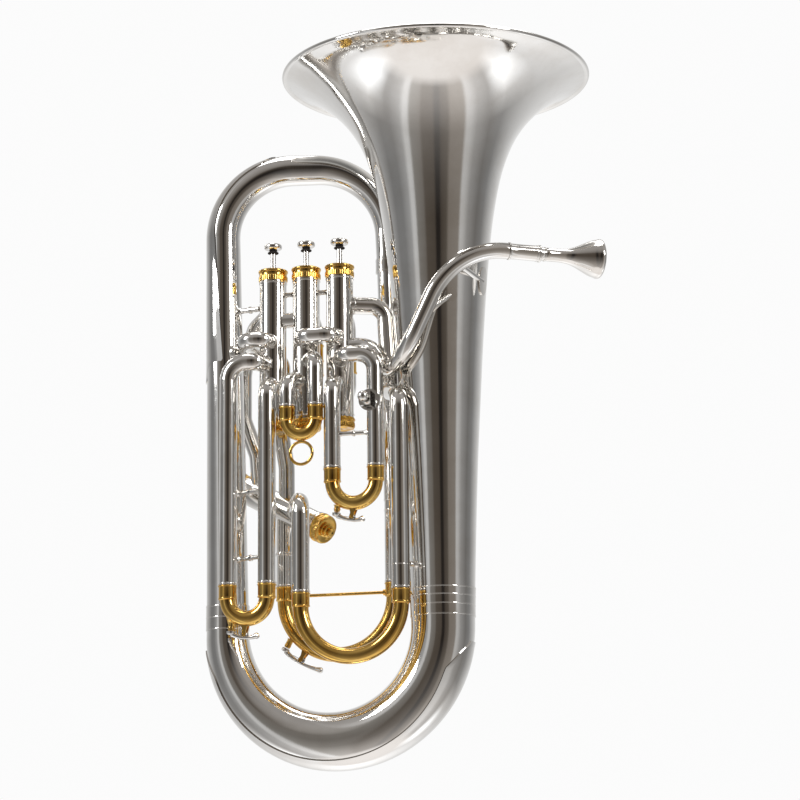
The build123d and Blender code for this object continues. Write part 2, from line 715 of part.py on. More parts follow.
sleeves_4 = (
    sleeve(SLIDE_4, 0, ((-23.3, -40.0, 258.0), (-46.0, 16.4, 251.8)), (15.0,), casing_cores[3]),
    sleeve(
        SLIDE_4,
        1,
        (
            (74.6, -40.0, 352.0),
            (56.0, -2.0, 364.0),
            (50.0, 6.0, 452.0),
            (8.8, VALVE_Y, 470.0),
        ),
        (15.0, 15.0, 15.0),
        casing_cores[0],
    ),
)
save("fourth_slide_sleeves", *sleeves_4)
main_left = sleeve(SLIDE_M, 0, ((-57.0, 20.0, 258.0),), (), casing_cores[3])
main_left = main_left + upright_tube(-57.0, 20.0, 211.0, 214.6, 18.4, 16.6)
main_right = sleeve(SLIDE_M, 1, ((52.5, 20.0, 262.0),), ())
main_right = main_right + upright_tube(52.5, 20.0, 250.0, 262.0, 18.4, 16.6)
save("main_slide_sleeves", main_left, main_right)

KEY_1 = (28.5, 236.0, -8.0, 16.0)
KEY_3 = (-79.5, 129.0, -4.0, 14.0)
KEY_M = (-40.2, 109.4, -28.7, 19.0)
SLIDES = {"first": SLIDE_1, "second": SLIDE_2, "third": SLIDE_3, "fourth": SLIDE_4, "main": SLIDE_M}
for name, slide in SLIDES.items():
    pieces = slide_legs(slide)
    if name == "first":
        pieces.extend(key_mount(slide, *KEY_1, 6.4, 9.4))
        save("first_water_key", key_lever(slide, *KEY_1, 12.0))
    if name == "third":
        pieces.extend(key_mount(slide, *KEY_3, 6.4, 8.4))
        save("third_water_key", key_lever(slide, *KEY_3, 14.0))
    if name == "main":
        pieces.extend(key_mount(slide, *KEY_M, 8.2, 11.0))
        save("main_water_key", key_lever(slide, *KEY_M, 24.0))
    save(f"{name}_slide_legs", *pieces)
    save(f"{name}_slide_bow", slide_bow(slide))

brace_z = SLIDE_M["ring"] - 9.3
brace = rod((-57.0, 20.0, brace_z), (52.5, 20.0, brace_z), 1.6)
for x in (-57.0, 52.5):
    brace = brace + Pos(x, 20.0, brace_z) * (Rot(0, 90, 0) * Cylinder(3.0, 20.4))
for x in SLIDE_M["x"]:
    brace = brace - Pos(x, 20.0, brace_z) * Cylinder(SLIDE_M["od"] / 2, 60)
main_brace = sorted(brace.solids(), key=lambda piece: piece.volume)[-1]
save("main_slide_brace", main_brace)

ring_x = (SLIDE_2["x"][0] + SLIDE_2["x"][1]) / 2
ring_z = 301.2
ring_body = Solid.make_torus(11.0, 1.5, Plane(origin=(ring_x, -40.0, ring_z), z_dir=(0, 1, 0)))
ring_post = rod((ring_x, -40.0, ring_z + 10.6), (ring_x, -40.0, ring_z + 19.0), 1.9)
save("second_pull_ring", trim(Part() + ring_body + ring_post, crook(SLIDE_2, crook_size(SLIDE_2), 2.0)))

# ---------------------------------------------------------------- braces
def upright_core(slide, side, z):
    return Pos(slide["x"][side], slide["y"], z) * Cylinder(slide["od"] / 2, 120)


def on_bell(azimuth, z, depth=1.0):
    """Point just inside the bell surface at an angle from +X."""
    radius = 0.0
    for (z0, r0), (z1, r1) in zip(BELL_PROFILE, BELL_PROFILE[1:]):
        if z0 <= z <= z1:
            radius = r0 + (r1 - r0) * (z - z0) / (z1 - z0)
    angle = math.radians(azimuth)
    radius = radius - depth
    return (BELL_X + radius * math.cos(angle), radius * math.sin(angle), z)


def bell_plug(z, reach=12.0):
    """Solid stretch of the bell's outside around one height."""
    low_r = on_bell(0, z - reach, 0.0)[0] - BELL_X
    high_r = on_bell(0, z + reach, 0.0)[0] - BELL_X
    return Pos(BELL_X, 0, z) * Cone(low_r, high_r, 2 * reach)


def branch_plug(z, reach=12.0):
    """Solid stretch of the left branch around one height."""
    radii = []
    for height in (z - reach, z, z + reach):
        share = (height - JOINT_Z) / (BRANCH_TOP_Z - JOINT_Z)
        radii.append(BOW_SMALL_R + (BRANCH_TOP_R - BOW_SMALL_R) * share)
        if height == z:
            x = BRANCH_X + (BRANCH_TOP_X - BRANCH_X) * share
    lean = Vector(BRANCH_TOP_X - BRANCH_X, 0, BRANCH_TOP_Z - JOINT_Z).normalized()
    return Plane(origin=(x, 0, z), z_dir=lean) * Cone(radii[0], radii[2], 2 * reach)


def inner_plug(z, reach=12.0):
    """Solid stretch of the inner branch around one height."""
    radii = []
    for height in (z - reach, z + reach):
        down = (TOP_BOW_END_Z - height) / (TOP_BOW_END_Z - INNER_END[2])
        for (s0, r0), (s1, r1) in zip(INNER_RADII, INNER_RADII[1:]):
            if s0 <= down <= s1:
                radii.append(r0 + (r1 - r0) * (down - s0) / (s1 - s0))
    middle = top_end + (inner_end - top_end) * ((TOP_BOW_END_Z - z) / (TOP_BOW_END_Z - INNER_END[2]))
    return Plane(origin=middle, z_dir=top_end - inner_end) * Cone(radii[0], radii[1], 2 * reach)


first_brace = strut(
    (SLIDE_1["x"][0] + 5.6, -42.0, 317.0),
    (SLIDE_1["x"][1] - 5.6, -42.0, 317.0),
    2.2,
    3.8,
    5.0,
    upright_core(SLIDE_1, 0, 317),
    upright_core(SLIDE_1, 1, 317),
)
save("first_sleeve_brace", first_brace)

left_3 = upright_core(SLIDE_3, 0, 300)
right_3 = upright_core(SLIDE_3, 1, 240)
right_4 = upright_core(SLIDE_4, 1, 210)
right_m = upright_core(SLIDE_M, 1, 220)
return_core = Pos(-103, 32, 376) * Cylinder(TUBE_OD / 2, 40)
braces = [
    strut((-96.6, -9.5, 270.5), (-62.8, -33.5, 268.5), 2.2, 5.2, 5.0, branch_plug(270), right_3),
    strut((-95.0, -9.0, 206.0), (-62.8, -33.5, 204.0), 2.2, 4.4, 5.0, branch_plug(206), right_3),
    strut((-99.1, -31.3, 300.0), (-105.1, -15.4, 300.0), 2.8, 4.4, 4.5, branch_plug(300), left_3),
    strut((78.3, -35.2, 190.5), on_bell(-127.7, 190.5, 2.0), 2.4, 4.4, 4.5, bell_plug(190.5), right_4),
    strut((57.3, 19.9, 300.0), on_bell(157.6, 300.0, 2.0), 2.4, 4.4, 4.5, bell_plug(300), inner_plug(300)),
    strut((53.6, 28.9, 478.0), on_bell(150.9, 478.0, 2.0), 2.6, 4.8, 4.5, bell_plug(478), inner_plug(478)),
    strut((-69.8, -9.7, 455.0), (-98.9, -3.2, 455.0), 2.6, 4.8, 5.0, casing_cores[2], branch_plug(455)),
    strut((-98.9, 27.8, 278.2), (-104.1, 15.5, 278.2), 2.8, 4.6, 4.5, casing_cores[3], branch_plug(278)),
    strut((-104.5, 26.7, 376.0), (-107.6, 15.1, 376.0), 2.6, 4.4, 4.5, branch_plug(376), return_core),
    strut((57.9, 18.0, 215.0), on_bell(159.3, 215.0, 2.0), 2.4, 4.4, 4.5, bell_plug(215), right_m),
]
save("body_braces", *braces)

# ---------------------------------------------------------------- leadpipe braces on the bell
pipe_solid = lead_path.solid(PIPE_OD)
UPPER_HOLD = (134.4, -57.0, 475.2)
LOWER_HOLD = (103.1, -54.5, 426.9)


def bell_foot(azimuth, z, high, wide):
    """Oval plate following the bell surface."""
    angle = math.radians(azimuth)
    low_r = on_bell(0, z - high, -1.3)[0] - BELL_X
    high_r = on_bell(0, z + high, -1.3)[0] - BELL_X
    outline = [(low_r, z - high), (high_r, z + high), (10.0, z + high), (10.0, z - high)]
    face = Face(Wire.make_polygon([Vector(r, 0, h) for r, h in outline], close=True))
    shell = revolve(face, Axis.Z, 360)
    across = (-math.sin(angle), math.cos(angle), 0)
    outward = (math.cos(angle), math.sin(angle), 0)
    plug = Plane(origin=(0, 0, z), x_dir=across, z_dir=outward) * extrude(Ellipse(wide, high), 90)
    return Pos(BELL_X, 0, 0) * (shell & plug)


upper_foot = bell_foot(-12, 466.0, 14.0, 8.0)
upper_rod = rod(UPPER_HOLD, on_bell(-12, 466.0), 3.0)
upper_brace = Part() + upper_rod + upper_foot
lower_foot = bell_foot(-62, 447.0, 7.0, 6.0)
lower_rod = rod(LOWER_HOLD, on_bell(-62, 447.0), 2.6)
lower_brace = Part() + lower_rod + lower_foot
save("leadpipe_braces", trim(upper_brace, bell_core, pipe_solid), trim(lower_brace, bell_core, pipe_solid))

# ---------------------------------------------------------------- music-clip socket on the first slide
SOCKET_X = 46.5
SOCKET_Z = 347.0
SOCKET_BORE = 5.8
SCREW_OD = 3.9
plate = Pos(SOCKET_X + 1.5, -49.3, SOCKET_Z) * (Rot(90, 0, 0) * Cylinder(10.5, 2.4))
block = Pos(SOCKET_X, -54.9, SOCKET_Z) * Box(10.0, 9.0, 14.0)
socket = plate + block - Pos(SOCKET_X, -55.2, SOCKET_Z) * Cylinder(SOCKET_BORE / 2, 30)
socket = socket - Pos(SOCKET_X, -58.5, SOCKET_Z) * (Rot(90, 0, 0) * Cylinder(SCREW_OD / 2 + 0.05, 6))
save("clip_socket", trim(socket, upright_core(SLIDE_1, 1, 347)))
screw = Pos(SOCKET_X, -61.4, SOCKET_Z) * (Rot(90, 0, 0) * Cylinder(SCREW_OD / 2, 6.2))
screw = screw + Pos(SOCKET_X, -63.2, SOCKET_Z) * (Rot(90, 0, 0) * Cylinder(3.4, 1.6))
screw = screw + Pos(SOCKET_X, -68.0, SOCKET_Z) * Sphere(5.2)
screw = screw - Pos(SOCKET_X, -69.4, SOCKET_Z) * Cylinder(1.0, 20)
save("clip_screw", screw)
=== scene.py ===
import functools
import json
import math

import bpy
from mathutils import Matrix, Vector


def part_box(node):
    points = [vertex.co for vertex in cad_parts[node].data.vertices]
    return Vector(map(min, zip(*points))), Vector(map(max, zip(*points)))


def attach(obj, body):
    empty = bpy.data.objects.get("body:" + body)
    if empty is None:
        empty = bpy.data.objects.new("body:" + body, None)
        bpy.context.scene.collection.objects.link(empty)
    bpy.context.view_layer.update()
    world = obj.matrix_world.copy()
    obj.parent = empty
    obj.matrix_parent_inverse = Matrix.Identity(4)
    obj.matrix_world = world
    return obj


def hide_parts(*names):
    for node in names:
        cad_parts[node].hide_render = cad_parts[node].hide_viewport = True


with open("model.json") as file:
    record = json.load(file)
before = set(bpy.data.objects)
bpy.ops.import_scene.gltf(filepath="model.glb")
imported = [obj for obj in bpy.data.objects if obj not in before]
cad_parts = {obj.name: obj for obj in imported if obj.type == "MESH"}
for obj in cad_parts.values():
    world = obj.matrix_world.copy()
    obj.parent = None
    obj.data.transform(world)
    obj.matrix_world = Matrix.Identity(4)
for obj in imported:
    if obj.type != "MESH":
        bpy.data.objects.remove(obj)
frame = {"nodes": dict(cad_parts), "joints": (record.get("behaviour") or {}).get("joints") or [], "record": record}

# Silver tenor tuba with gold trim. Sizes are in millimetres and become metres in make().
MM = 0.001
UP = Vector((0, 0, 1))
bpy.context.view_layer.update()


# ------------------------------------------------------------------ the frame, in millimetres
def box(node):
    low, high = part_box(node)
    return low / MM, high / MM


def joint(name):
    return next(j for j in frame["joints"] if j["name"] == name)


# ------------------------------------------------------------------ materials
def node_of(tree, kind, **inputs):
    node = tree.nodes.new(kind)
    for key, value in inputs.items():
        node.inputs[key.replace("_", " ")].default_value = value
    return node


def noise(tree, coords, scale, detail=3.0, rough=0.5, stretch=None):
    """Noise on object coordinates, stretched along an axis where brushing needs it."""
    node = node_of(tree, "ShaderNodeTexNoise", Scale=scale, Detail=detail, Roughness=rough)
    if stretch:
        mapping = tree.nodes.new("ShaderNodeMapping")
        mapping.inputs["Scale"].default_value = stretch
        tree.links.new(coords, mapping.inputs["Vector"])
        coords = mapping.outputs["Vector"]
    tree.links.new(coords, node.inputs["Vector"])
    return node.outputs["Fac"]


def ramp(tree, source, stops):
    node = tree.nodes.new("ShaderNodeValToRGB")
    elements = node.color_ramp.elements
    while len(elements) < len(stops):
        elements.new(0.5)
    for element, (place, colour) in zip(elements, stops):
        element.position = place
        element.color = (*colour, 1.0)
    tree.links.new(source, node.inputs["Fac"])
    return node.outputs["Color"]


def spread(tree, source, low, high):
    node = tree.nodes.new("ShaderNodeMapRange")
    node.inputs["From Min"].default_value = 0.3
    node.inputs["From Max"].default_value = 0.7
    node.inputs["To Min"].default_value = low
    node.inputs["To Max"].default_value = high
    tree.links.new(source, node.inputs["Value"])
    return node.outputs["Result"]


def bump(tree, height, strength, distance, under=None):
    node = node_of(tree, "ShaderNodeBump", Strength=strength, Distance=distance)
    tree.links.new(height, node.inputs["Height"])
    if under:
        tree.links.new(under, node.inputs["Normal"])
    return node.outputs["Normal"]


def new_material(name):
    material = bpy.data.materials.new(name)
    material.use_nodes = True
    tree = material.node_tree
    shader = tree.nodes["Principled BSDF"]
    coords = tree.nodes.new("ShaderNodeTexCoord").outputs["Object"]
    return material, tree, shader, coords


SCRATCHES = (1.0, 1.0, 0.06)


def plated(name, bright, dull, rough, dents=0.10):
    """Polished plate: cloudy tarnish, polishing haze, fine scratches and soft dents."""
    material, tree, shader, coords = new_material(name)
    shader.inputs["Metallic"].default_value = 1.0
    cloud = noise(tree, coords, 22.0, 5.0, 0.6)
    colour = ramp(tree, cloud, ((0.36, dull), (0.58, bright)))
    tree.links.new(colour, shader.inputs["Base Color"])
    haze = noise(tree, coords, 60.0, 4.0, 0.65)
    tree.links.new(spread(tree, haze, rough * 0.7, rough * 1.5), shader.inputs["Roughness"])
    wave = bump(tree, noise(tree, coords, 26.0, 1.0, 0.4), dents, 0.0012)
    scratch = noise(tree, coords, 1400.0, 2.0, 0.5, SCRATCHES)
    normal = bump(tree, scratch, 0.05, 0.0002, wave)
    tree.links.new(normal, shader.inputs["Normal"])
    return material


def plain_gloss(name, light, dark, scale, rough, relief, coat=0.0):
    """Non-metal: felt, cork or shell, told apart by grain and gloss."""
    material, tree, shader, coords = new_material(name)
    grain = noise(tree, coords, scale, 6.0, 0.65)
    tree.links.new(ramp(tree, grain, ((0.35, dark), (0.65, light))), shader.inputs["Base Color"])
    tree.links.new(spread(tree, grain, rough * 0.85, rough * 1.1), shader.inputs["Roughness"])
    tree.links.new(bump(tree, grain, relief, 0.0006), shader.inputs["Normal"])
    shader.inputs["Coat Weight"].default_value = coat
    shader.inputs["Coat Roughness"].default_value = 0.05
    return material


SILVER = plated("silver_plate", (0.90, 0.885, 0.86), (0.80, 0.775, 0.735), 0.055)
SILVER_LARGE = plated("silver_plate_large", (0.89, 0.88, 0.86), (0.82, 0.80, 0.77), 0.05, 0.05)
GOLD = plated("gold_plate", (0.86, 0.57, 0.17), (0.70, 0.40, 0.09), 0.08)
STEEL = plated("spring_steel", (0.62, 0.61, 0.60), (0.45, 0.44, 0.44), 0.22)
PEARL = plain_gloss("pearl", (0.93, 0.92, 0.90), (0.70, 0.72, 0.76), 90.0, 0.25, 0.02, 1.0)
FELT = plain_gloss("felt", (0.045, 0.040, 0.040), (0.015, 0.013, 0.013), 900.0, 0.95, 0.8)
CORK = plain_gloss("cork", (0.62, 0.42, 0.25), (0.30, 0.17, 0.09), 700.0, 0.85, 0.6)


# ------------------------------------------------------------------ mesh building
SMOOTH_UNDER = math.radians(32)


def make(name, body, slot, material, verts, faces, replaces=()):
    """One finished piece: a mesh in metres that rides on a CAD body."""
    mesh = bpy.data.meshes.new(name)
    mesh.from_pydata([v * MM for v in verts], [], faces)
    mesh.validate()
    mesh.update()
    mesh.polygons.foreach_set("use_smooth", [True] * len(mesh.polygons))
    mesh.set_sharp_from_angle(angle=SMOOTH_UNDER)
    mesh.materials.append(material)
    piece = bpy.data.objects.new(name, mesh)
    bpy.context.scene.collection.objects.link(piece)
    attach(piece, body)
    if replaces:
        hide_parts(*replaces)
    return piece


class Path:
    """A centreline sampled finely, with a frame at any distance along it."""

    def __init__(self, points, side=None):
        self.points = points
        self.at = [0.0]
        for a, b in zip(points, points[1:]):
            self.at.append(self.at[-1] + (b - a).length)
        self.long = self.at[-1]
        self.tangents = []
        last = len(points) - 1
        for i in range(len(points)):
            self.tangents.append((points[min(i + 1, last)] - points[max(i - 1, 0)]).normalized())
        self.sides = []
        side = side or (UP if abs(self.tangents[0].z) < 0.9 else Vector((0, -1, 0)))
        for tangent in self.tangents:
            side = (side - tangent * side.dot(tangent)).normalized()
            self.sides.append(side)

    def frame(self, s):
        """Point, side, other side and tangent at a distance; straight on past either end."""
        i = 0
        while i < len(self.at) - 2 and self.at[i + 1] < s:
            i += 1
        share = (s - self.at[i]) / (self.at[i + 1] - self.at[i])
        point = self.points[i].lerp(self.points[i + 1], share) if 0 <= share <= 1 else (
            self.points[i] + (self.points[i + 1] - self.points[i]) * share
        )
        share = min(max(share, 0.0), 1.0)
        tangent = self.tangents[i].lerp(self.tangents[i + 1], share).normalized()
        side = self.sides[i].lerp(self.sides[i + 1], share)
        side = (side - tangent * side.dot(tangent)).normalized()
        return point, side, tangent.cross(side), tangent


ARC_STEP = math.radians(3.0)


def rounded(points, radii, side=None):
    """Path of straight runs joined by tangent arcs, one radius for each inner corner."""
    corners = [Vector(p) for p in points]
    line = [corners[0]]
    for i in range(1, len(corners) - 1):
        back = (corners[i - 1] - corners[i]).normalized()
        ahead = (corners[i + 1] - corners[i]).normalized()
        half = back.angle(ahead) / 2
        radius = radii[i - 1]
        centre = corners[i] + (back + ahead).normalized() * (radius / math.sin(half))
        enter = corners[i] + back * (radius / math.tan(half))
        turn = math.pi - 2 * half
        spoke = enter - centre
        axis = back.cross(ahead).normalized()
        steps = max(2, round(turn / ARC_STEP))
        for k in range(steps + 1):
            place = centre + Matrix.Rotation(-turn * k / steps, 3, axis) @ spoke
            if (place - line[-1]).length > 0.02:
                line.append(place)
    if (corners[-1] - line[-1]).length > 0.02:
        line.append(corners[-1])
    return Path(line, side)


def straight(start, end):
    return Path([Vector(start), Vector(end)])


def along(path, profile, around=40):
    """Rings along a path for a closed outline of distance and radius pairs."""
    verts, faces = [], []
    stations = []
    count = len(profile)
    for i in range(count):
        (s0, r0), (s1, r1) = profile[i], profile[(i + 1) % count]
        stations.append((s0, r0))
        inner = [s for s in path.at if min(s0, s1) + 0.05 < s < max(s0, s1) - 0.05]
        for s in inner if s1 > s0 else reversed(inner):
            stations.append((s, r0 + (r1 - r0) * (s - s0) / (s1 - s0)))
    for s, r in stations:
        point, side, other, _ = path.frame(s)
        for k in range(around):
            a = 2 * math.pi * k / around
            verts.append(point + side * (r * math.cos(a)) + other * (r * math.sin(a)))
    rings = len(stations)
    for i in range(rings):
        for k in range(around):
            n = (k + 1) % around
            j = (i + 1) % rings
            faces.append((i * around + k, i * around + n, j * around + n, j * around + k))
    return verts, faces


ON_AXIS = 1e-6


def lathe(path, profile, around=40, flat=1.0):
    """A turned solid: the outline starts and ends on the axis, at radius zero."""
    rings, faces = [], []
    for s, r in profile:
        point, side, other, _ = path.frame(s)
        if r < ON_AXIS:
            rings.append([point])
            continue
        ring = []
        for k in range(around):
            a = 2 * math.pi * k / around
            ring.append(point + side * (flat * r * math.cos(a)) + other * (r * math.sin(a)))
        rings.append(ring)
    verts, first = [], []
    for ring in rings:
        first.append(len(verts))
        verts.extend(ring)
    for i in range(len(rings) - 1):
        a, b = rings[i], rings[i + 1]
        for k in range(around):
            n = (k + 1) % around
            low = (first[i] + k, first[i] + n) if len(a) > 1 else (first[i],)
            high = (first[i + 1] + n, first[i + 1] + k) if len(b) > 1 else (first[i + 1],)
            if len(low) + len(high) > 2:
                faces.append(low + high)
    return verts, faces


def joined(*meshes):
    verts, faces = [], []
    for more_verts, more_faces in meshes:
        base = len(verts)
        verts.extend(more_verts)
        faces.extend(tuple(i + base for i in face) for face in more_faces)
    return verts, faces


def bead(s, r, wide, high, steps=6):
    """Points of a half-round bead on a tube, from its near to its far side."""
    points = []
    for k in range(steps + 1):
        a = math.pi * k / steps
        points.append((s - wide / 2 * math.cos(a), r + high * math.sin(a)))
    return points


def tube(path, outside, bore, start=0.0, end=None, beads=(), around=40):
    """Round tube with softened lips; beads are distance, width and height."""
    end = path.long if end is None else end
    wall = outside - bore
    profile = [(start, bore + wall * 0.3), (start, outside - wall * 0.3)]
    profile.append((start + wall * 0.3, outside))
    for s, wide, high in beads:
        profile += bead(s, outside, wide, high)
    profile.append((end - wall * 0.3, outside))
    profile += [(end, outside - wall * 0.3), (end, bore + wall * 0.3)]
    profile += [(end - wall * 0.3, bore), (start + wall * 0.3, bore)]
    return along(path, profile, around)


def bar(path, radius, around=20):
    """Solid round bar with rounded ends, following a path."""
    profile = [(0.0, 0.0)]
    for k in range(1, 5):
        a = math.pi / 2 * k / 4
        profile.append((radius * (1 - math.cos(a)), radius * math.sin(a)))
    profile += [(s, radius) for s in path.at if radius < s < path.long - radius]
    for k in range(4, 0, -1):
        a = math.pi / 2 * k / 4
        profile.append((path.long - radius * (1 - math.cos(a)), radius * math.sin(a)))
    profile.append((path.long, 0.0))
    return lathe(path, profile, around)


def knurled(path, profile, ridges, depth, low, high, fine=4):
    """Turned ring whose outside has vertical grooves between two distances."""
    around = ridges * fine
    verts, faces = along(path, profile, around)
    out = []
    for i, v in enumerate(verts):
        ring = i // around
        k = i % around
        s, r = profile[ring % len(profile)]
        if low <= s <= high and r > 0.8 * max(p[1] for p in profile):
            point = path.frame(s)[0]
            phase = 2 * math.pi * (k % fine) / fine
            v = v + (point - v).normalized() * (depth * (0.5 - 0.5 * math.cos(phase)))
        out.append(v)
    return out, faces


ROOT = "instrument"


# ------------------------------------------------------------------ bell
BELL_LINE = (
    (150.0, 30.5),
    (215.0, 32.6),
    (292.0, 35.8),
    (351.0, 39.2),
    (412.0, 43.0),
    (480.0, 48.4),
    (538.0, 55.2),
    (583.0, 64.6),
    (616.0, 77.6),
    (640.0, 94.0),
    (660.0, 115.0),
    (673.0, 135.0),
    (679.4, 149.6),
)
WALL = 0.75
BEAD_R = 2.2
BELL_AROUND = 192


def smooth_curve(points, per_span):
    """Catmull-Rom curve through pairs of numbers, spaced by chord length."""
    pts = [Vector((a, b, 0)) for a, b in points]
    pts = [pts[0] * 2 - pts[1]] + pts + [pts[-1] * 2 - pts[-2]]
    curve = []
    for i in range(1, len(pts) - 2):
        p0, p1, p2, p3 = pts[i - 1 : i + 3]
        t01 = (p1 - p0).length ** 0.5
        t12 = (p2 - p1).length ** 0.5
        t23 = (p3 - p2).length ** 0.5
        m1 = (p2 - p1) + ((p1 - p0) / t01 - (p2 - p0) / (t01 + t12)) * t12
        m2 = (p2 - p1) + ((p3 - p2) / t23 - (p3 - p1) / (t12 + t23)) * t12
        for k in range(per_span):
            t = k / per_span
            curve.append(
                p1 * (2 * t**3 - 3 * t**2 + 1)
                + m1 * (t**3 - 2 * t**2 + t)
                + p2 * (3 * t**2 - 2 * t**3)
                + m2 * (t**3 - t**2)
            )
    curve.append(pts[-2])
    return [(p.x, p.y) for p in curve]


@functools.cache
def bell_line():
    return smooth_curve(BELL_LINE, 7)


def bell_radius(z):
    line = bell_line()
    for (z0, r0), (z1, r1) in zip(line, line[1:]):
        if z0 <= z <= z1:
            return r0 + (r1 - r0) * (z - z0) / (z1 - z0)
    return line[0][1]


bell_low, bell_high = box("bell")
BELL_X = (bell_low.x + bell_high.x) / 2
BELL_Y = (bell_low.y + bell_high.y) / 2
RIM_R = (bell_high.x - bell_low.x) / 2


def build_bell():
    foot, top = bell_low.z, bell_high.z
    axis = straight((BELL_X, BELL_Y, foot), (BELL_X, BELL_Y, top))
    outer = [(z - foot, r) for z, r in bell_line()]
    inner = []
    for i, (z, r) in enumerate(outer):
        z0, r0 = outer[max(i - 1, 0)]
        z1, r1 = outer[min(i + 1, len(outer) - 1)]
        run = Vector((z1 - z0, r1 - r0)).normalized()
        inner.append((z + run.y * WALL, r - run.x * WALL))
    centre_r = RIM_R - BEAD_R
    centre_z = top - foot - BEAD_R + 0.02
    rim = []
    for k in range(17):
        a = math.radians(-105 + 290 * k / 16)
        rim.append((centre_z + BEAD_R * math.sin(a), centre_r + BEAD_R * math.cos(a)))
    profile = outer[:-1] + rim + list(reversed(inner[:-1]))
    verts, faces = along(axis, profile, BELL_AROUND)
    make("bell_body", ROOT, "silver_plate", SILVER_LARGE, verts, faces, ["bell"])


# ------------------------------------------------------------------ bows and branches
bow_low, bow_high = box("bottom_bow")
branch_low, branch_high = box("outer_branch")
inner_low, inner_high = box("inner_branch")
JOINT_Z = bell_low.z
BOW_BIG_R = (bow_high.y - bow_low.y) / 2
BOW_SMALL_R = (branch_high.y - branch_low.y) / 2
BRANCH_X = branch_high.x - BOW_SMALL_R
BOW_RADIUS = (BELL_X - BRANCH_X) / 2
BOW_Z = 135.9
BRANCH_TOP = Vector((-114.5, 0, branch_high.z))
BRANCH_TOP_R = 16.6
TOP_BEND = 70.0
TOP_WIDTH = 164.0
TOP_TURN = math.radians(12.0)
TOP_END_Z = inner_high.z
ALONG = Vector((math.cos(TOP_TURN), math.sin(TOP_TURN), 0))
TOP_END = BRANCH_TOP + ALONG * TOP_WIDTH + UP * (TOP_END_Z - BRANCH_TOP.z)
INNER_END = Vector((52.5, 20.0, inner_low.z))
GUARD = 1.2


def shell(name, path, radius_at, node, around=96):
    """Conical tube: its outside radius is a function of the distance."""
    outer = [(s, radius_at(s)) for s in path.at]
    profile = outer + [(s, r - WALL) for s, r in reversed(outer)]
    verts, faces = along(path, profile, around)
    return make(name, ROOT, "silver_plate", SILVER_LARGE, verts, faces, [node])


bow_path = rounded(
    (
        (BELL_X, 0, JOINT_Z),
        (BELL_X, 0, BOW_Z - BOW_RADIUS),
        (BRANCH_X, 0, BOW_Z - BOW_RADIUS),
        (BRANCH_X, 0, JOINT_Z),
    ),
    (BOW_RADIUS, BOW_RADIUS),
    Vector((1, 0, 0)),
)
BOW_LEAD = JOINT_Z - BOW_Z


def bow_radius(s):
    share = (s - BOW_LEAD) / (bow_path.long - 2 * BOW_LEAD)
    share = min(max(share, 0.0), 1.0)
    return BOW_SMALL_R + (BOW_BIG_R - BOW_SMALL_R) * (1 - share**1.8)


def even(start, end, steps):
    return [start.lerp(end, k / steps) for k in range(steps + 1)]


branch_path = Path(even(Vector((BRANCH_X, 0, JOINT_Z)), BRANCH_TOP, 12), Vector((-1, 0, 0)))


def branch_radius(s):
    return BOW_SMALL_R + (BRANCH_TOP_R - BOW_SMALL_R) * s / branch_path.long


top_corner = BRANCH_TOP + UP * TOP_BEND
top_path = rounded(
    (BRANCH_TOP, top_corner, top_corner + ALONG * TOP_WIDTH, TOP_END),
    (TOP_BEND, TOP_BEND),
    -ALONG,
)
TOP_RADII = ((0.0, 16.6), (0.40, 15.4), (0.48, 15.0), (0.90, 12.0), (1.0, 10.8))
INNER_RADII = ((0.0, 10.8), (0.25, 9.9), (0.6, 9.0), (1.0, 8.6))


def from_table(table, share):
    for (a, r0), (b, r1) in zip(table, table[1:]):
        if share <= b:
            return r0 + (r1 - r0) * (share - a) / (b - a)
    return table[-1][1]


def top_radius(s):
    return from_table(TOP_RADII, s / top_path.long)


inner_path = Path(even(TOP_END, INNER_END, 16), Vector((1, 0, 0)))


def inner_radius(s):
    return from_table(INNER_RADII, s / inner_path.long)


def strip(name, path, start, end, radius_at, reach_at, thick, node=None):
    """Guard plate on the outer side of a tube, with a raised edge all round."""
    across = 28
    stops = [start] + [s for s in path.at if start + 0.4 < s < end - 0.4] + [end]
    verts, faces = [], []
    for lift in (0.0, 1.0):
        for s in stops:
            point, side, other, _ = path.frame(s)
            reach = reach_at(s)
            for k in range(across + 1):
                t = -1 + 2 * k / across
                a = reach * t
                edge = 0.35 if abs(t) > 0.93 or s in (stops[0], stops[-1]) else 0.0
                r = radius_at(s) - 0.05 + lift * (thick + edge)
                verts.append(point + side * (r * math.cos(a)) + other * (r * math.sin(a)))
    wide = across + 1
    layer = wide * len(stops)
    for i in range(len(stops) - 1):
        for k in range(across):
            a = i * wide + k
            faces.append((a, a + wide, a + wide + 1, a + 1))
            b = a + layer
            faces.append((b, b + 1, b + wide + 1, b + wide))
    for i in range(len(stops) - 1):
        for k, flip in ((0, True), (across, False)):
            a = i * wide + k
            face = (a, a + layer, a + wide + layer, a + wide)
            faces.append(face if flip else face[::-1])
    for k in range(across):
        for i, flip in ((0, False), (len(stops) - 1, True)):
            a = i * wide + k
            face = (a, a + layer, a + 1 + layer, a + 1)
            faces.append(face if flip else face[::-1])
    return make(name, ROOT, "silver_plate", SILVER_LARGE, verts, faces, [node] if node else ())


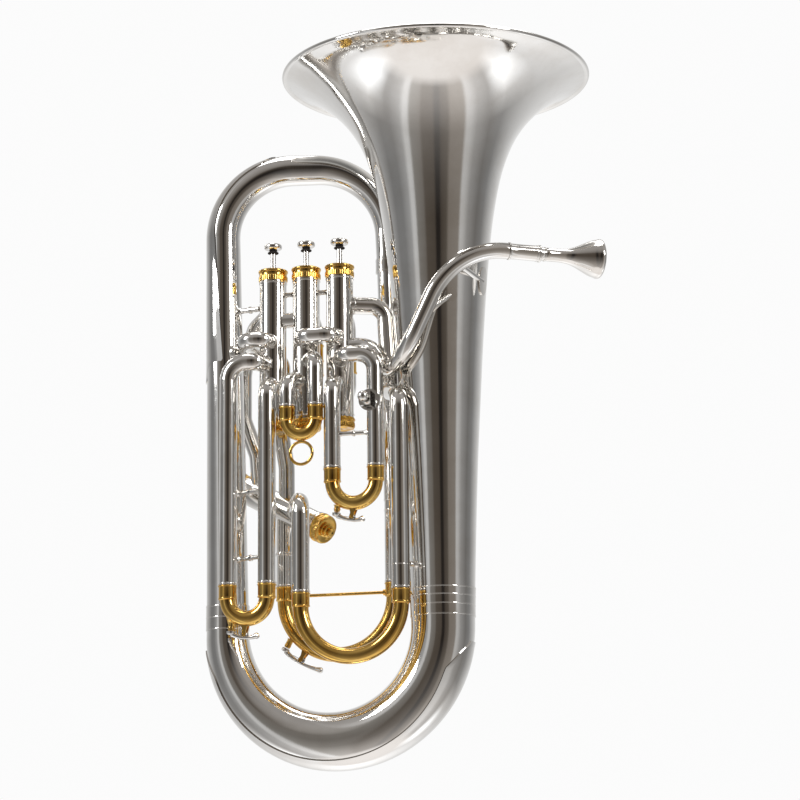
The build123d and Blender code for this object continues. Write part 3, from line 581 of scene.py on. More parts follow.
def build_big_tubing():
    shell("bottom_bow_tube", bow_path, bow_radius, "bottom_bow", 128)
    shell("outer_branch_tube", branch_path, branch_radius, "outer_branch")
    shell("top_bow_tube", top_path, top_radius, "top_bow")
    shell("inner_branch_tube", inner_path, inner_radius, "inner_branch", 64)
    lead = BOW_LEAD + (BOW_Z - box("bottom_guard")[1].z)

    def bow_reach(s):
        turn = (s - BOW_LEAD) / (bow_path.long - 2 * BOW_LEAD) * math.pi
        full = math.acos((14 + 6 * math.sin(turn)) / (bow_radius(s) + GUARD))
        tip = min(s - lead, bow_path.long - lead - s) / 26
        return full * math.sqrt(max(0.06, min(1.0, tip)))

    strip("bottom_guard_plate", bow_path, lead, bow_path.long - lead, bow_radius, bow_reach,
          GUARD - 0.3, "bottom_guard")
    side_foot = box("side_guard")[0].z
    long_branch = branch_path.long
    guard_from = (side_foot - JOINT_Z) / (BRANCH_TOP.z - JOINT_Z) * long_branch
    side_path = Path(branch_path.points + top_path.points[1:], Vector((-1, 0, 0)))

    def side_radius(s):
        return branch_radius(s) if s <= long_branch else top_radius(s - long_branch)

    guard_to = long_branch + TOP_BEND * 1.36

    def side_reach(s):
        share = (s - guard_from) / (guard_to - guard_from)
        tip = min(s - guard_from, guard_to - s) / 14
        return math.radians(104 - 46 * share) * math.sqrt(max(0.08, min(1.0, tip)))

    strip("side_guard_strip", side_path, guard_from, guard_to, side_radius, side_reach,
          GUARD - 0.3, "side_guard")


# ------------------------------------------------------------------ ferrules of the big tubing
LIP_WIDE = 1.1
LIP_HIGH = 0.22


def ferrule(path, radius_at, low, high, thick, lips, around=96):
    """Band that follows a tube's taper, with half-round beads."""
    profile = [(low, radius_at(low)), (low, radius_at(low) + thick)]
    for s in lips:
        profile += bead(s, radius_at(s) + thick, LIP_WIDE, LIP_HIGH)
    profile += [(high, radius_at(high) + thick), (high, radius_at(high))]
    return along(path, profile, around)


def build_ferrules():
    bell_axis = straight((BELL_X, 0, 100), (BELL_X, 0, 200))
    big = ferrule(bell_axis, lambda s: max(bell_radius(s + 100), BOW_BIG_R), 42.0, 70.0, 0.55,
                  (43.0, 53.0, 61.5, 69.0), 128)
    branch_axis = straight((BRANCH_X, 0, 100), (BRANCH_X, 0, 200))
    left = ferrule(branch_axis, lambda s: BOW_SMALL_R, 37.5, 62.0, 0.55, (38.6, 50.0, 60.8))
    lower_top = straight(TOP_END - UP * 20, TOP_END + UP * 20)
    right = ferrule(lower_top, lambda s: 10.95, 13.0, 27.0, 1.0, (14.2, 25.8), 64)
    verts, faces = joined(big, left, right)
    make("ferrule_bands", ROOT, "silver_plate", SILVER, verts, faces, ["bow_ferrules"])


build_bell()
build_big_tubing()
build_ferrules()


# ------------------------------------------------------------------ valves
CASING_OD = 26.6
CASING_BORE = 23.6
CAP_OD = 28.6
STEM_OD = 5.4
BUTTON_OD = 17.6
BUTTON_RISE = 20.0
KNURLS = 44
FOURTH_FOOT = Vector((-8.6, 0.0, 231.5))
FOURTH_LONG = 128.0


@functools.cache
def valve_axis(number):
    """Foot, direction and length of a valve, read from its casing's place in the frame."""
    low, high = box(f"valve_casing_{number}")
    if number < 4:
        x, y = (low.x + high.x) / 2, (low.y + high.y) / 2
        return Vector((x, y, low.z - 4.0)), UP.copy(), high.z - low.z + 8.0
    return FOURTH_FOOT, -Vector(joint("valve_4_press")["axis"]).normalized(), FOURTH_LONG


def lifted(foot, axis, start, end):
    """Short path up a valve's axis between two heights above its foot."""
    side = Vector((0, -1, 0)) if abs(axis.z) > 0.9 else UP
    return Path([foot + axis * start, foot + axis * end], side)


def build_casing(number):
    foot, axis, length = valve_axis(number)
    path = lifted(foot, axis, 0, length)
    mesh = tube(
        path,
        CASING_OD / 2,
        CASING_BORE / 2,
        4.0,
        length - 4.0,
        ((13.9, 1.8, 0.7), (length - 14.1, 1.8, 0.7)),
        64,
    )
    make(f"casing_tube_{number}", ROOT, "silver_plate", SILVER, *mesh, [f"valve_casing_{number}"])


def top_cap_outline(length):
    r = CAP_OD / 2
    outline = [(length - 12.0, r - 0.9), (length - 11.6, r - 0.2)]
    outline += [(length - 11.2, r), (length - 7.4, r), (length - 7.0, r - 0.3)]
    outline += [(length - 6.2, r - 0.55), (length - 3.6, r - 0.55)]
    outline += bead(length - 2.0, r - 0.4, 2.6, 0.8)
    outline += [(length - 0.4, r - 1.0), (length, r - 2.0), (length - 0.5, r - 4.0)]
    outline += [(length - 0.5, 6.4), (length + 0.0, 5.2), (length, 3.3), (length - 0.4, 2.8)]
    outline += [(length - 3.0, 2.8), (length - 3.0, CASING_BORE / 2)]
    outline += [(length - 3.9, CASING_BORE / 2), (length - 3.9, CASING_OD / 2)]
    return outline + [(length - 12.0, CASING_OD / 2)]


def bottom_cap_outline():
    r = CAP_OD / 2
    outline = [(11.0, r - 0.9), (10.6, r - 0.3)] + list(reversed(bead(8.9, r - 0.2, 2.0, 0.6)))
    outline += [(7.6, r - 0.5), (6.2, r - 0.5), (5.6, r), (2.2, r), (1.6, r - 0.3)]
    outline += list(reversed(bead(0.9, r - 1.1, 1.2, 0.4)))
    outline += [(0.0, r - 2.2), (0.5, r - 4.0), (0.9, 7.2), (0.3, 6.0), (0.0, 3.2), (0.4, 2.0)]
    outline += [(1.9, 2.0), (1.9, CASING_BORE / 2), (4.1, CASING_BORE / 2), (4.1, CASING_OD / 2)]
    return outline + [(11.0, CASING_OD / 2)]


def build_caps():
    tops, bottoms = [], []
    for number in (1, 2, 3, 4):
        foot, axis, length = valve_axis(number)
        path = lifted(foot, axis, 0, 1)
        outline = top_cap_outline(length)
        tops.append(knurled(path, outline, KNURLS, 0.45, length - 11.4, length - 7.2))
        bottoms.append(knurled(path, bottom_cap_outline(), KNURLS, 0.45, 2.0, 5.8))
        if number == 4:
            knob = [(0.6, 2.2), (0.2, 5.0), (-0.4, 6.0), (-2.8, 6.2), (-3.4, 5.4), (-3.6, 4.2)]
            knob += [(-4.4, 4.6), (-6.9, 4.6), (-7.5, 3.8), (-7.6, 1.2), (-5.0, 0.9), (-4.0, 2.0)]
            bottoms.append(knurled(path, knob, 16, 0.5, -3.2, -0.6))
    make("top_caps", ROOT, "gold_plate", GOLD, *joined(*tops), ["valve_top_caps"])
    make("bottom_caps", ROOT, "gold_plate", GOLD, *joined(*bottoms), ["valve_bottom_caps"])


def build_stem(number):
    foot, axis, length = valve_axis(number)
    body = f"piston_body_{number}"
    path = lifted(foot, axis, 0, 1)
    rise = length + BUTTON_RISE
    r = STEM_OD / 2
    top = rise + 6.7
    button = BUTTON_OD / 2
    outline = [(length - 22.0, 0.0), (length - 22.0, r), (rise - 1.4, r), (rise - 1.0, r + 0.4)]
    outline += [(rise + 0.4, 5.0), (rise + 1.2, button - 1.6), (rise + 1.9, button - 0.5)]
    outline += [(rise + 2.6, button - 0.05), (rise + 3.6, button), (rise + 4.8, button)]
    outline += [(rise + 5.6, button - 0.3), (rise + 6.2, button - 0.9), (rise + 6.3, button - 1.5)]
    outline += [(rise + 5.9, button - 1.9), (rise + 5.9, 0.0)]
    make(f"stem_and_button_{number}", body, "silver_plate", SILVER, *lathe(path, outline, 48),
         [f"stem_{number}"])
    inlay = [(rise + 5.95, 0.0), (rise + 5.95, button - 2.0), (top - 0.25, button - 2.1)]
    inlay += [(top - 0.08, button - 2.9), (top, button - 4.4), (top, 0.0)]
    make(f"pearl_inlay_{number}", body, None, PEARL, *lathe(path, inlay, 48))
    felt = [(rise - 2.7, r + 0.02), (rise - 2.8, 4.9), (rise - 2.5, 5.4), (rise - 1.8, 5.4)]
    felt += [(rise - 1.4, 5.0), (rise - 1.4, r + 0.42)]
    make(f"button_felt_{number}", body, None, FELT, *along(path, felt, 36))


for valve_number in (1, 2, 3, 4):
    build_casing(valve_number)
    build_stem(valve_number)
build_caps()


# ------------------------------------------------------------------ slides
SLEEVE_WALL = 0.55
LEG_FIT = 0.05
FERRULE = 14.0


class Slide:
    """Places and diameters of one slide, read from its bow's box."""

    def __init__(self, name):
        self.name = name
        low, high = box(f"{name}_slide_bow")
        self.cup = high.y - low.y
        self.od = self.cup - 1.4
        self.y = (low.y + high.y) / 2
        self.x = (low.x + self.cup / 2, high.x - self.cup / 2)
        self.ring = high.z
        self.leg = self.od - 2 * SLEEVE_WALL - 2 * LEG_FIT
        self.top = box(f"{name}_slide_legs")[1].z
        self.body = f"{name}_slide"

    def bend(self):
        """Centreline of the return bend, from one ferrule's mouth to the other's."""
        half = (self.x[1] - self.x[0]) / 2
        turn = self.ring - FERRULE + 1.0
        return rounded(
            (
                (self.x[0], self.y, self.ring),
                (self.x[0], self.y, turn - half),
                (self.x[1], self.y, turn - half),
                (self.x[1], self.y, self.ring),
            ),
            (half, half),
            Vector((0, -1, 0)),
        )


SLIDES = {name: Slide(name) for name in ("first", "second", "third", "fourth", "main")}


def build_slide(slide):
    path = slide.bend()
    crook = (slide.leg - 0.9) / 2
    cup = slide.od / 2
    outline = []
    far = path.long
    first = [(0.3, cup + 0.1)] + bead(0.9, cup + 0.1, 1.5, 0.6)
    first += [(2.0, cup - 0.05), (FERRULE - 2.0, cup - 0.05)]
    first += bead(FERRULE - 1.2, cup - 0.05, 1.5, 0.42)
    first += [(FERRULE - 0.2, cup - 0.3), (FERRULE, crook + 0.5), (FERRULE + 0.3, crook)]
    outline += first
    outline += [(far - s, r) for s, r in reversed(first)]
    leg = slide.leg / 2
    outline += [(far - 0.05, leg + 0.3), (far - 0.05, leg), (far - FERRULE + 2.0, leg)]
    outline += [(far - FERRULE + 1.8, crook - 0.5), (FERRULE - 1.8, crook - 0.5)]
    outline += [(FERRULE - 2.0, leg), (0.05, leg), (0.05, leg + 0.3)]
    make(f"{slide.name}_bow_bend", slide.body, "gold_plate", GOLD, *along(path, outline, 44),
         [f"{slide.name}_slide_bow"])


SEAT_R = CASING_OD / 2 - 0.5
SEAT_STOP = 10.4
FRONT = Vector((0, -1, 0))


def seated(mesh, *numbers):
    """Push a tube's end out onto the casings it is soldered to."""
    verts, faces = mesh
    moved = []
    for v in verts:
        for number in numbers:
            foot, axis, length = valve_axis(number)
            up = (v - foot).dot(axis)
            spoke = v - foot - axis * up
            if 4.0 < up < length - 4.0 and spoke.length < SEAT_R:
                v = foot + axis * up + spoke.normalized() * SEAT_R
        moved.append(v)
    return moved, faces


def to_casing(last, number, aim=None):
    """Point just inside a casing's wall, straight on from the last corner towards its axis."""
    foot, axis, _ = valve_axis(number)
    last = Vector(last)
    centre = Vector(aim) if aim else foot + axis * (last - foot).dot(axis)
    return centre + (last - centre).normalized() * SEAT_STOP


def joined_tube(points, radii, od, ends=(), beads=(), flanges=(True, True), wall=0.6):
    """Tube along tangent bends, flared a little where it is soldered to a casing."""
    path = rounded(points, radii, FRONT)
    stops = list(beads)
    if flanges[0]:
        stops.insert(0, (3.4, 1.6, 0.45))
    if flanges[1]:
        stops.append((path.long - 3.4, 1.6, 0.45))
    return seated(tube(path, od / 2, od / 2 - wall, 0.0, None, stops, 44), *ends)


def sleeve(slide, side, corners, radii, number=None, beads=(), aim=None):
    """Outer tube of a slide: a ringed lip, a straight run and the bends into a valve."""
    foot = Vector((slide.x[side], slide.y, slide.ring + 0.4))
    corners = [Vector(c) for c in corners]
    if number:
        corners.append(to_casing(corners[-1], number, aim))
    path = rounded((foot, *corners), radii, FRONT)
    stops = [(0.9, 1.5, 0.6), *beads]
    if number:
        stops.append((path.long - 3.6, 1.6, 0.45))
    mesh = tube(path, slide.od / 2, slide.od / 2 - SLEEVE_WALL, 0.0, None, stops, 44)
    return seated(mesh, number) if number else mesh


def build_sleeves():
    first, second, third = SLIDES["first"], SLIDES["second"], SLIDES["third"]
    fourth, main = SLIDES["fourth"], SLIDES["main"]
    ring = (22.0, 1.0, 0.25)
    sleeves = {
        "first": (
            sleeve(first, 0, ((first.x[0], first.y, 370.0),), (13.0,), 1),
            sleeve(first, 1, ((first.x[1], first.y, 395.0), (20.0, first.y, 395.0)), (17.0, 12.0), 1),
        ),
        "second": (
            sleeve(second, 0, ((second.x[0], second.y, 376.0),), (13.0,), 2),
            sleeve(second, 1, ((second.x[1], second.y, 396.0),), (13.0,), 2),
        ),
        "third": (
            sleeve(third, 0, ((third.x[0], third.y, 395.0), (-70.0, third.y, 395.0)), (18.0, 9.6), 3),
            sleeve(third, 1, ((third.x[1], third.y, 372.0),), (13.0,), 3),
        ),
        "fourth": (
            sleeve(fourth, 0, ((fourth.x[0], fourth.y, 258.0),), (15.0,), 4, (), (-46.0, 16.4, 251.8)),
            sleeve(
                fourth,
                1,
                ((fourth.x[1], fourth.y, 352.0), (56.0, -2.0, 364.0), (50.0, 6.0, 452.0)),
                (15.0, 15.0, 15.0),
                1,
                (ring,),
            ),
        ),
        "main": (
            sleeve(main, 0, ((main.x[0], main.y, 252.0),), (), None, ((31.8, 3.6, 0.9),)),
            sleeve(main, 1, ((main.x[1], main.y, 262.0),), (), None, ((70.0, 1.4, 0.6), (79.8, 1.4, 0.6))),
        ),
    }
    for name, meshes in sleeves.items():
        node = f"{name}_slide_sleeves"
        make(f"{name}_outer_tubes", ROOT, "silver_plate", SILVER, *joined(*meshes), [node])


KNUCKLE_Y = -37.0
KNUCKLE_Z = 417.0
SHORT_KNUCKLE_Z = 440.0
LOOP_Y = 22.0
LOOP_BANDS = (390.0, 422.0)
LOOP_BENDS = ((444.0, LOOP_BANDS[1]), (368.0, LOOP_BANDS[0]))


def build_valve_tubing():
    """Knuckles between the casings and the small compensating loops at the back."""
    heads = {number: valve_axis(number)[0] for number in (1, 2, 3)}
    one, two, three = heads[1], heads[2], heads[3]
    corners = ((one.x, KNUCKLE_Y, KNUCKLE_Z), (two.x, KNUCKLE_Y, KNUCKLE_Z))
    start, end = to_casing(corners[0], 1), to_casing(corners[1], 2)
    knuckle = joined_tube((start, *corners, end), (12.0, 12.0), 16.0, (1, 2))
    left = Vector((three.x + SEAT_STOP, three.y, SHORT_KNUCKLE_Z))
    right = Vector((two.x - SEAT_STOP, two.y, SHORT_KNUCKLE_Z))
    short = seated(tube(straight(left, right), 7.5, 6.9, around=44), 2, 3)
    make("valve_knuckle_tubes", ROOT, "silver_plate", SILVER, *joined(knuckle, short), ["valve_knuckles"])

    loops, bows = [], []
    for number, head in ((1, one), (2, two)):
        for height, inner in LOOP_BENDS:
            corner = Vector((head.x, LOOP_Y, height))
            points = (to_casing(corner, number), corner, (head.x, LOOP_Y, inner))
            loops.append(joined_tube(points, (12.0,), 14.0, (number,), (), (True, False)))
        band_low, band_high = (Vector((head.x, LOOP_Y, z)) for z in LOOP_BANDS)
        sleeve_path = Path([band_low, band_high], FRONT)
        rings = ((1.1, 1.8, 0.7), (15.5, 1.8, 0.7), (30.9, 1.8, 0.7))
        bows.append(tube(sleeve_path, 7.25, 6.6, 0.0, None, rings, 44))
    make("loop_tubes", ROOT, "silver_plate", SILVER, *joined(*loops), ["compensating_loops"])
    make("loop_bands", ROOT, "gold_plate", GOLD, *joined(*bows), ["compensating_bows"])


# ------------------------------------------------------------------ water keys
def key_frame(name, tilt):
    """Pivot and axes of a water key: along the lever, across it and up."""
    j = joint(f"{name}_key_press")
    pivot = Vector(j["pos_m"]) / MM
    turn = Matrix.Rotation(math.radians(-tilt), 3, "Y")
    return pivot, turn @ Vector((1, 0, 0)), turn @ UP


# of each key: tilt in degrees, pivot to cork cup, pivot to finger touch
WATER_KEYS = {"first": (-8.0, 16.0, 12.0), "third": (-4.0, 14.0, 14.0), "main": (-28.7, 19.0, 24.0)}
EAR_Y = 3.5
EAR_R = 2.3
SPRING_TURNS = 5
SPRING_STEPS = 14


def build_key(name, tilt, reach, tail):
    """Saddle-shaped lever with a cork cup at one end and a finger touch at the other."""
    pivot, out, up = key_frame(name, tilt)
    body = f"{name}_key"

    def at(x, z, y=0.0):
        return pivot + out * x + up * z + Vector((0, y, 0))

    curve = []
    for k in range(17):
        x = -reach + (reach + tail) * k / 16
        sag = 3.6 * (x / reach) ** 2 if x < 0 else 3.4 * (x / tail) ** 2
        curve.append(at(x, -2.9 + sag))
    path = Path(curve, up)
    outline = [(0.0, 0.0), (0.3, 1.9), (1.4, 2.7)]
    for s in path.at[2:-2]:
        share = s / path.long
        outline.append((s, 2.1 + 0.5 * math.cos(2 * math.pi * share)))
    outline += [(path.long - 3.6, 3.0), (path.long - 1.6, 3.2), (path.long - 0.3, 2.2), (path.long, 0.0)]
    lever = lathe(path, outline, 28, 0.95)
    hub_path = Path([at(0, 0, -2.45), at(0, 0, 2.45)], up)
    hub = lathe(hub_path, [(0, 0.0), (0, 1.9), (0.3, 2.3), (4.6, 2.3), (4.9, 1.9), (4.9, 0.0)], 28)
    cup_path = Path([at(-reach, -0.6), at(-reach, 3.0)], Vector((0, 1, 0)))
    cup_line = [(0.0, 0.0), (0.0, 2.6), (0.5, 3.6), (1.3, 4.1), (3.3, 4.1), (3.4, 3.8), (3.3, 3.5)]
    cup_line += [(2.2, 3.5), (2.2, 0.0)]
    cup = lathe(cup_path, cup_line, 36)
    make(f"{name}_key_lever", body, "silver_plate", SILVER, *joined(lever, hub, cup), [f"{name}_water_key"])
    cork_line = [(2.3, 0.0), (2.3, 3.35), (3.5, 3.35), (3.8, 3.1), (3.85, 0.0)]
    make(f"{name}_key_cork", body, None, CORK, *lathe(cup_path, cork_line, 36))
    helix = []
    steps = SPRING_TURNS * SPRING_STEPS
    for k in range(steps + 1):
        a = 2 * math.pi * k / SPRING_STEPS + math.pi
        y = -1.9 + 3.8 * k / steps
        helix.append(at(2.85 * math.cos(a), 2.85 * math.sin(a), y))
    helix.append(at(-reach * 0.55, 0.35, 1.9))
    make(f"{name}_key_spring", body, None, STEEL, *bar(Path(helix, Vector((0, 1, 0))), 0.28, around=8))


def above_key(name, slide, tilt, x, y=0.0):
    """Height above the pivot at which a key's saddle meets the bow."""
    pivot, out, up = key_frame(name, tilt)
    half = (slide.x[1] - slide.x[0]) / 2
    centre = Vector(((slide.x[0] + slide.x[1]) / 2, slide.y, slide.ring - FERRULE + 1.0))
    height = 3.0
    while height < 30.0:
        spoke = pivot + out * x + up * height + Vector((0, y, 0)) - centre
        if math.hypot(math.hypot(spoke.x, spoke.z) - half, spoke.y) < (slide.leg - 0.9) / 2:
            break
        height += 0.1
    return height


def build_saddle(name, tilt, reach):
    """Two ears with a pin, and the drain nipple, soldered under the bow."""
    slide = SLIDES[name]
    pivot, out, up = key_frame(name, tilt)
    meshes = []
    for y in (-EAR_Y, EAR_Y):
        top = above_key(name, slide, tilt, 0.0, y) + 0.3
        lower_half = [math.pi + math.pi * k / 10 for k in range(11)]
        outline = [(EAR_R * math.cos(a), EAR_R * math.sin(a)) for a in lower_half]
        outline += [(1.7, 3.4), (3.0, top), (-3.0, top), (-1.7, 3.4)]
        verts, count = [], len(outline)
        for side in (y - 0.6, y + 0.6):
            verts += [pivot + out * x + up * z + Vector((0, side, 0)) for x, z in outline]
        faces = [tuple(range(count)), tuple(reversed(range(count, 2 * count)))]
        for k in range(count):
            n = (k + 1) % count
            faces.append((k, k + count, n + count, n))
        meshes.append((verts, faces))
    pin = Path([pivot + Vector((0, -4.6, 0)), pivot + Vector((0, 4.6, 0))], up)
    meshes.append(lathe(pin, [(0, 0), (0, 1.3), (0.3, 1.5), (0.6, 1.5), (0.6, 0.95), (8.6, 0.95), (8.6, 1.5),
                              (8.9, 1.5), (9.2, 1.3), (9.2, 0)], 20))
    top = above_key(name, slide, tilt, -reach, 0.0) + 0.4
    foot = pivot - out * reach
    nipple = Path([foot + up * 3.9, foot + up * top], Vector((0, 1, 0)))
    long = nipple.long
    outline = [(0.0, 1.6), (0.0, 2.5), (0.2, 2.8), (1.4, 3.0)] + bead(2.4, 3.0, 1.4, 0.3)
    outline += [(long - 1.4, 3.0), (long - 0.5, 3.5), (long, 4.1), (long, 1.6)]
    meshes.append(along(nipple, outline, 32))
    make(f"{name}_key_saddle", f"{name}_slide", "gold_plate", GOLD, *joined(*meshes))


def build_legs(name):
    slide = SLIDES[name]
    meshes = []
    for x in slide.x:
        foot = Vector((x, slide.y, slide.ring - FERRULE + 2.0))
        path = Path([foot, Vector((x, slide.y, slide.top))], FRONT)
        meshes.append(tube(path, slide.leg / 2, slide.leg / 2 - 0.55, around=44))
    make(f"{name}_inner_tubes", slide.body, "silver_plate", SILVER, *joined(*meshes), [f"{name}_slide_legs"])


# ------------------------------------------------------------------ leadpipe, receiver and mouthpiece
MOUTH_LIP = Vector((210.0, -15.0, 487.5))
RECEIVER_LONG = 33.0
RECEIVER_R = 7.7


def build_mouth_end():
    axis = Vector(joint("mouthpiece_pull")["axis"]).normalized()
    long, r = RECEIVER_LONG, RECEIVER_R
    path = Path([MOUTH_LIP - axis * long, MOUTH_LIP], UP)
    outline = [(0.0, 7.3), (0.1, r + 0.5)] + bead(1.2, r + 0.1, 2.2, 0.8) + [(3.0, r), (9.0, r - 0.15)]
    outline += [(22.0, r - 0.1), (27.5, r)] + bead(28.8, r, 1.2, 0.3) + bead(31.6, r, 2.6, 0.8)
    outline += [(long, r - 0.1), (long - 0.1, 6.75), (10.0, 6.34), (9.9, 6.1), (4.0, 6.1)]
    make("receiver_tube", ROOT, "silver_plate", SILVER, *along(path, outline, 48), ["mouthpiece_receiver"])
    cup_path = Path([MOUTH_LIP, MOUTH_LIP + axis * 10], UP)
    outside = smooth_curve(
        ((5.0, 6.6), (22.0, 6.75), (29.0, 7.9), (36.0, 10.4), (44.0, 14.2), (51.0, 17.3), (55.6, 18.6)), 5
    )
    rim = [(56.4, 18.9), (57.2, 19.2), (58.2, 19.3), (59.2, 19.25), (60.2, 18.9), (61.0, 18.2)]
    rim += [(61.6, 17.2), (61.8, 16.2), (61.7, 15.0), (61.2, 13.9), (60.2, 13.1), (58.6, 12.8)]
    inside = smooth_curve(
        ((57.0, 12.75), (50.0, 12.0), (44.0, 10.2), (38.0, 6.6), (34.5, 3.7), (31.0, 3.3), (20.0, 3.7)), 5
    )
    outline = [(-22.0, 6.25), (2.9, 6.62)] + bead(4.0, 6.55, 1.8, 0.5) + outside + rim + inside
    outline += [(-22.0, 5.4)]
    make("mouthpiece_cup", "mouthpiece_body", "silver_plate", SILVER, *along(cup_path, outline, 64),
         ["mouthpiece"])


for one_slide in SLIDES.values():
    build_slide(one_slide)
build_sleeves()
build_valve_tubing()
for slide_name in SLIDES:
    build_legs(slide_name)
for key_name, (key_tilt, key_reach, key_tail) in WATER_KEYS.items():
    build_key(key_name, key_tilt, key_reach, key_tail)
    build_saddle(key_name, key_tilt, key_reach)
build_mouth_end()


# ------------------------------------------------------------------ CAD nodes that keep their own shape
GOLD_SLOT = "gold_plate"
slots = {s["node"]: s["material_slot"] for s in frame["record"]["subparts"]}


def dress_cad_nodes():
    for name, node in frame["nodes"].items():
        if node.hide_render:
            continue
        node.data.materials.clear()
        node.data.materials.append(GOLD if slots[name] == GOLD_SLOT else SILVER)
        node.data.polygons.foreach_set("use_smooth", [True] * len(node.data.polygons))


dress_cad_nodes()


# ------------------------------------------------------------------ studio
def maths(tree, operation, first, second=None):
    node = tree.nodes.new("ShaderNodeMath")
    node.operation = operation
    for socket, value in zip(node.inputs, (first, second)):
        if value is None:
            continue
        if isinstance(value, float):
            socket.default_value = value
        else:
            tree.links.new(value, socket)
    return node.outputs["Value"]


def blend(tree, kind, first, second, factor=1.0):
    node = tree.nodes.new("ShaderNodeMix")
    node.data_type = "RGBA"
    node.blend_type = kind
    sockets = (node.inputs["Factor"], node.inputs[6], node.inputs[7])
    for socket, value in zip(sockets, (factor, first, second)):
        if isinstance(value, (float, tuple)):
            socket.default_value = value
        else:
            tree.links.new(value, socket)
    return node.outputs[2]


def studio_world():
    """Studio walls by compass direction: dark behind the camera, panels beside it, white at the back."""
    world = bpy.data.worlds.new("studio")
    bpy.context.scene.world = world
    world.use_nodes = True
    tree = world.node_tree
    background = tree.nodes["Background"]
    coords = tree.nodes.new("ShaderNodeTexCoord").outputs["Generated"]
    turn = tree.nodes.new("ShaderNodeMapping")
    turn.inputs["Rotation"].default_value = (0, 0, math.radians(-CAMERA_YAW))
    tree.links.new(coords, turn.inputs["Vector"])
    split = tree.nodes.new("ShaderNodeSeparateXYZ")
    tree.links.new(turn.outputs["Vector"], split.inputs["Vector"])
    toward = maths(tree, "MULTIPLY", split.outputs["Y"], -1.0)
    compass = maths(tree, "ARCTAN2", split.outputs["X"], toward)
    share = maths(tree, "ADD", maths(tree, "DIVIDE", compass, 2 * math.pi), 0.5)
    walls = ramp(tree, share, WALLS)
    height = maths(tree, "ADD", maths(tree, "MULTIPLY", split.outputs["Z"], 0.5), 0.5)
    level = ramp(tree, height, LEVELS)
    around = blend(tree, "MIX", walls, STAGE, ramp(tree, height, STAGE_REACH))
    room = blend(tree, "MULTIPLY", around, level)
    lamps = blend(tree, "MULTIPLY", ramp(tree, share, LAMPS_ROUND), ramp(tree, height, LAMPS_HIGH))
    lit = blend(tree, "ADD", room, lamps)
    seen = tree.nodes.new("ShaderNodeLightPath").outputs["Is Camera Ray"]
    tree.links.new(blend(tree, "MIX", lit, BACKDROP, seen), background.inputs["Color"])


# brightness of the walls from straight ahead (0) by the left (0.25), behind the camera (0.5) and the right
WALLS = (
    (0.00, (0.95, 0.95, 0.95)),
    (0.08, (0.72, 0.72, 0.72)),
    (0.17, (0.42, 0.42, 0.42)),
    (0.24, (0.20, 0.20, 0.20)),
    (0.29, (0.20, 0.20, 0.20)),
    (0.335, (0.34, 0.34, 0.34)),
    (0.352, (0.58, 0.58, 0.58)),
    (0.368, (0.56, 0.56, 0.56)),
    (0.380, (0.21, 0.20, 0.185)),
    (0.420, (0.16, 0.145, 0.13)),
    (0.432, (0.085, 0.070, 0.056)),
    (0.480, (0.070, 0.056, 0.044)),
    (0.492, (0.012, 0.009, 0.007)),
    (0.508, (0.012, 0.009, 0.007)),
    (0.520, (0.060, 0.048, 0.038)),
    (0.548, (0.090, 0.075, 0.060)),
    (0.562, (0.20, 0.175, 0.152)),
    (0.620, (0.23, 0.205, 0.18)),
    (0.634, (0.52, 0.515, 0.51)),
    (0.652, (0.48, 0.475, 0.47)),
    (0.680, (0.30, 0.295, 0.29)),
    (0.74, (0.17, 0.165, 0.16)),
    (0.79, (0.22, 0.22, 0.22)),
    (0.86, (0.50, 0.50, 0.50)),
    (0.93, (0.75, 0.75, 0.75)),
    (1.00, (0.95, 0.95, 0.95)),
)
# the same by height, from straight down (0) to straight up (1)
LEVELS = (
    (0.00, (1.90, 1.92, 1.95)),
    (0.12, (1.60, 1.61, 1.63)),
    (0.30, (1.00, 1.00, 1.00)),
    (0.50, (0.90, 0.90, 0.90)),
    (0.72, (1.00, 1.00, 1.00)),
    (1.00, (0.65, 0.65, 0.65)),
)


BACKDROP = (0.97, 0.97, 0.97, 1.0)
# pale stage and ceiling: how far they take over from the walls, by height
STAGE = (0.50, 0.475, 0.455, 1.0)
STAGE_REACH = (
    (0.00, (1.0, 1.0, 1.0)),
    (0.035, (1.0, 1.0, 1.0)),
    (0.065, (0.42, 0.42, 0.42)),
    (0.20, (0.30, 0.30, 0.30)),
    (0.38, (0.14, 0.14, 0.14)),
    (0.52, (0.02, 0.02, 0.02)),
    (0.66, (0.03, 0.03, 0.03)),
    (0.76, (0.40, 0.40, 0.40)),
    (0.90, (0.80, 0.80, 0.80)),
    (1.00, (0.90, 0.90, 0.90)),
)
# two low lamps beside the camera: where they stand round the stage, and how high
LAMPS_ROUND = (
    (0.000, (0.0, 0.0, 0.0)),
    (0.140, (0.0, 0.0, 0.0)),
    (0.215, (1.0, 1.0, 1.0)),
    (0.275, (0.0, 0.0, 0.0)),
    (0.725, (0.0, 0.0, 0.0)),
    (0.785, (1.0, 1.0, 1.0)),
    (0.860, (0.0, 0.0, 0.0)),
    (1.000, (0.0, 0.0, 0.0)),
)
LAMPS_HIGH = (
    (0.00, (0.0, 0.0, 0.0)),
    (0.03, (0.0, 0.0, 0.0)),
    (0.085, (1.3, 1.35, 1.4)),
    (0.20, (0.25, 0.25, 0.25)),
    (0.30, (0.0, 0.0, 0.0)),
    (1.00, (0.0, 0.0, 0.0)),
)


def soft_box(name, place, aim, wide, high, power):
    light = bpy.data.lights.new(name, "AREA")
    light.shape = "RECTANGLE"
    light.size = wide
    light.size_y = high
    light.energy = power
    lamp = bpy.data.objects.new(name, light)
    lamp.location = place
    lamp.rotation_euler = (Vector(aim) - Vector(place)).to_track_quat("-Z", "Y").to_euler()
    bpy.context.scene.collection.objects.link(lamp)


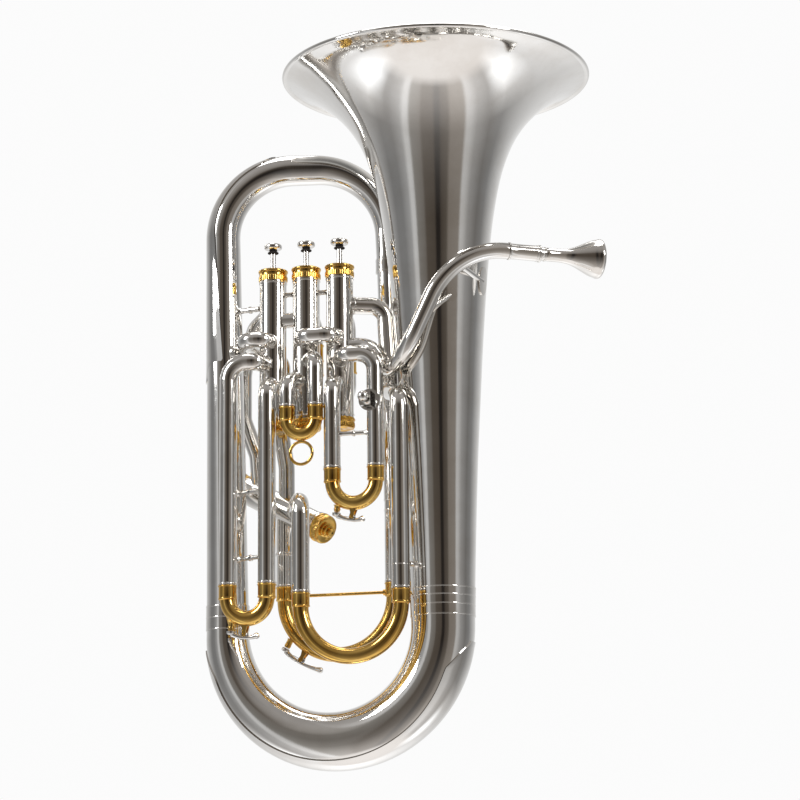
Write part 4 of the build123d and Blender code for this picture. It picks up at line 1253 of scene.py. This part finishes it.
def floor():
    """Pale matt floor, well below the instrument, which is shown in mid-air."""
    mesh = bpy.data.meshes.new("floor")
    signs = ((-1, -1), (1, -1), (1, 1), (-1, 1))
    corners = [(FLOOR_HALF * x, FLOOR_HALF * y, FLOOR_Z) for x, y in signs]
    mesh.from_pydata(corners, [], [(0, 1, 2, 3)])
    material, tree, shader, coords = new_material("floor_paint")
    shade = ramp(tree, noise(tree, coords, 3.0), ((0.3, (0.80, 0.80, 0.80)), (0.7, (0.84, 0.84, 0.83))))
    tree.links.new(shade, shader.inputs["Base Color"])
    shader.inputs["Roughness"].default_value = 0.8
    tree.links.new(shade, shader.inputs["Emission Color"])
    shader.inputs["Emission Strength"].default_value = 0.4
    mesh.materials.append(material)
    plane = bpy.data.objects.new("floor", mesh)
    bpy.context.scene.collection.objects.link(plane)
    plane.visible_glossy = False


CAMERA_YAW = 14.0
CAMERA_PITCH = 12.2
CAMERA_ROLL = 0.6
CAMERA_PLACE = Vector((0.6366, -2.2899, -0.1543))
CAMERA_LENS = 112.0
FLOOR_Z = -0.45
FLOOR_HALF = 30.0


def camera():
    yaw, pitch, roll = (math.radians(a) for a in (CAMERA_YAW, CAMERA_PITCH, CAMERA_ROLL))
    ahead = Vector((-math.sin(yaw) * math.cos(pitch), math.cos(yaw) * math.cos(pitch), math.sin(pitch)))
    level = Vector((math.cos(yaw), math.sin(yaw), 0))
    above = level.cross(ahead)
    right = level * math.cos(roll) - above * math.sin(roll)
    up = level * math.sin(roll) + above * math.cos(roll)
    data = bpy.data.cameras.new("camera")
    data.lens = CAMERA_LENS
    data.sensor_width = 36.0
    data.clip_start = 0.05
    data.clip_end = 50.0
    view = bpy.data.objects.new("camera", data)
    view.matrix_world = Matrix.Translation(CAMERA_PLACE) @ Matrix((right, up, -ahead)).transposed().to_4x4()
    bpy.context.scene.collection.objects.link(view)
    bpy.context.scene.camera = view


camera()
studio_world()
floor()
soft_box("key_left", (-1.9, -1.5, 1.5), (0, 0, 0.45), 0.7, 1.1, 26.0)
soft_box("key_right", (2.3, -1.3, 1.5), (0.05, 0, 0.45), 0.7, 1.1, 22.0)
soft_box("top_light", (0.1, 0.3, 2.4), (0, 0, 0.4), 1.6, 1.6, 30.0)
bpy.context.scene.view_settings.view_transform = "Standard"
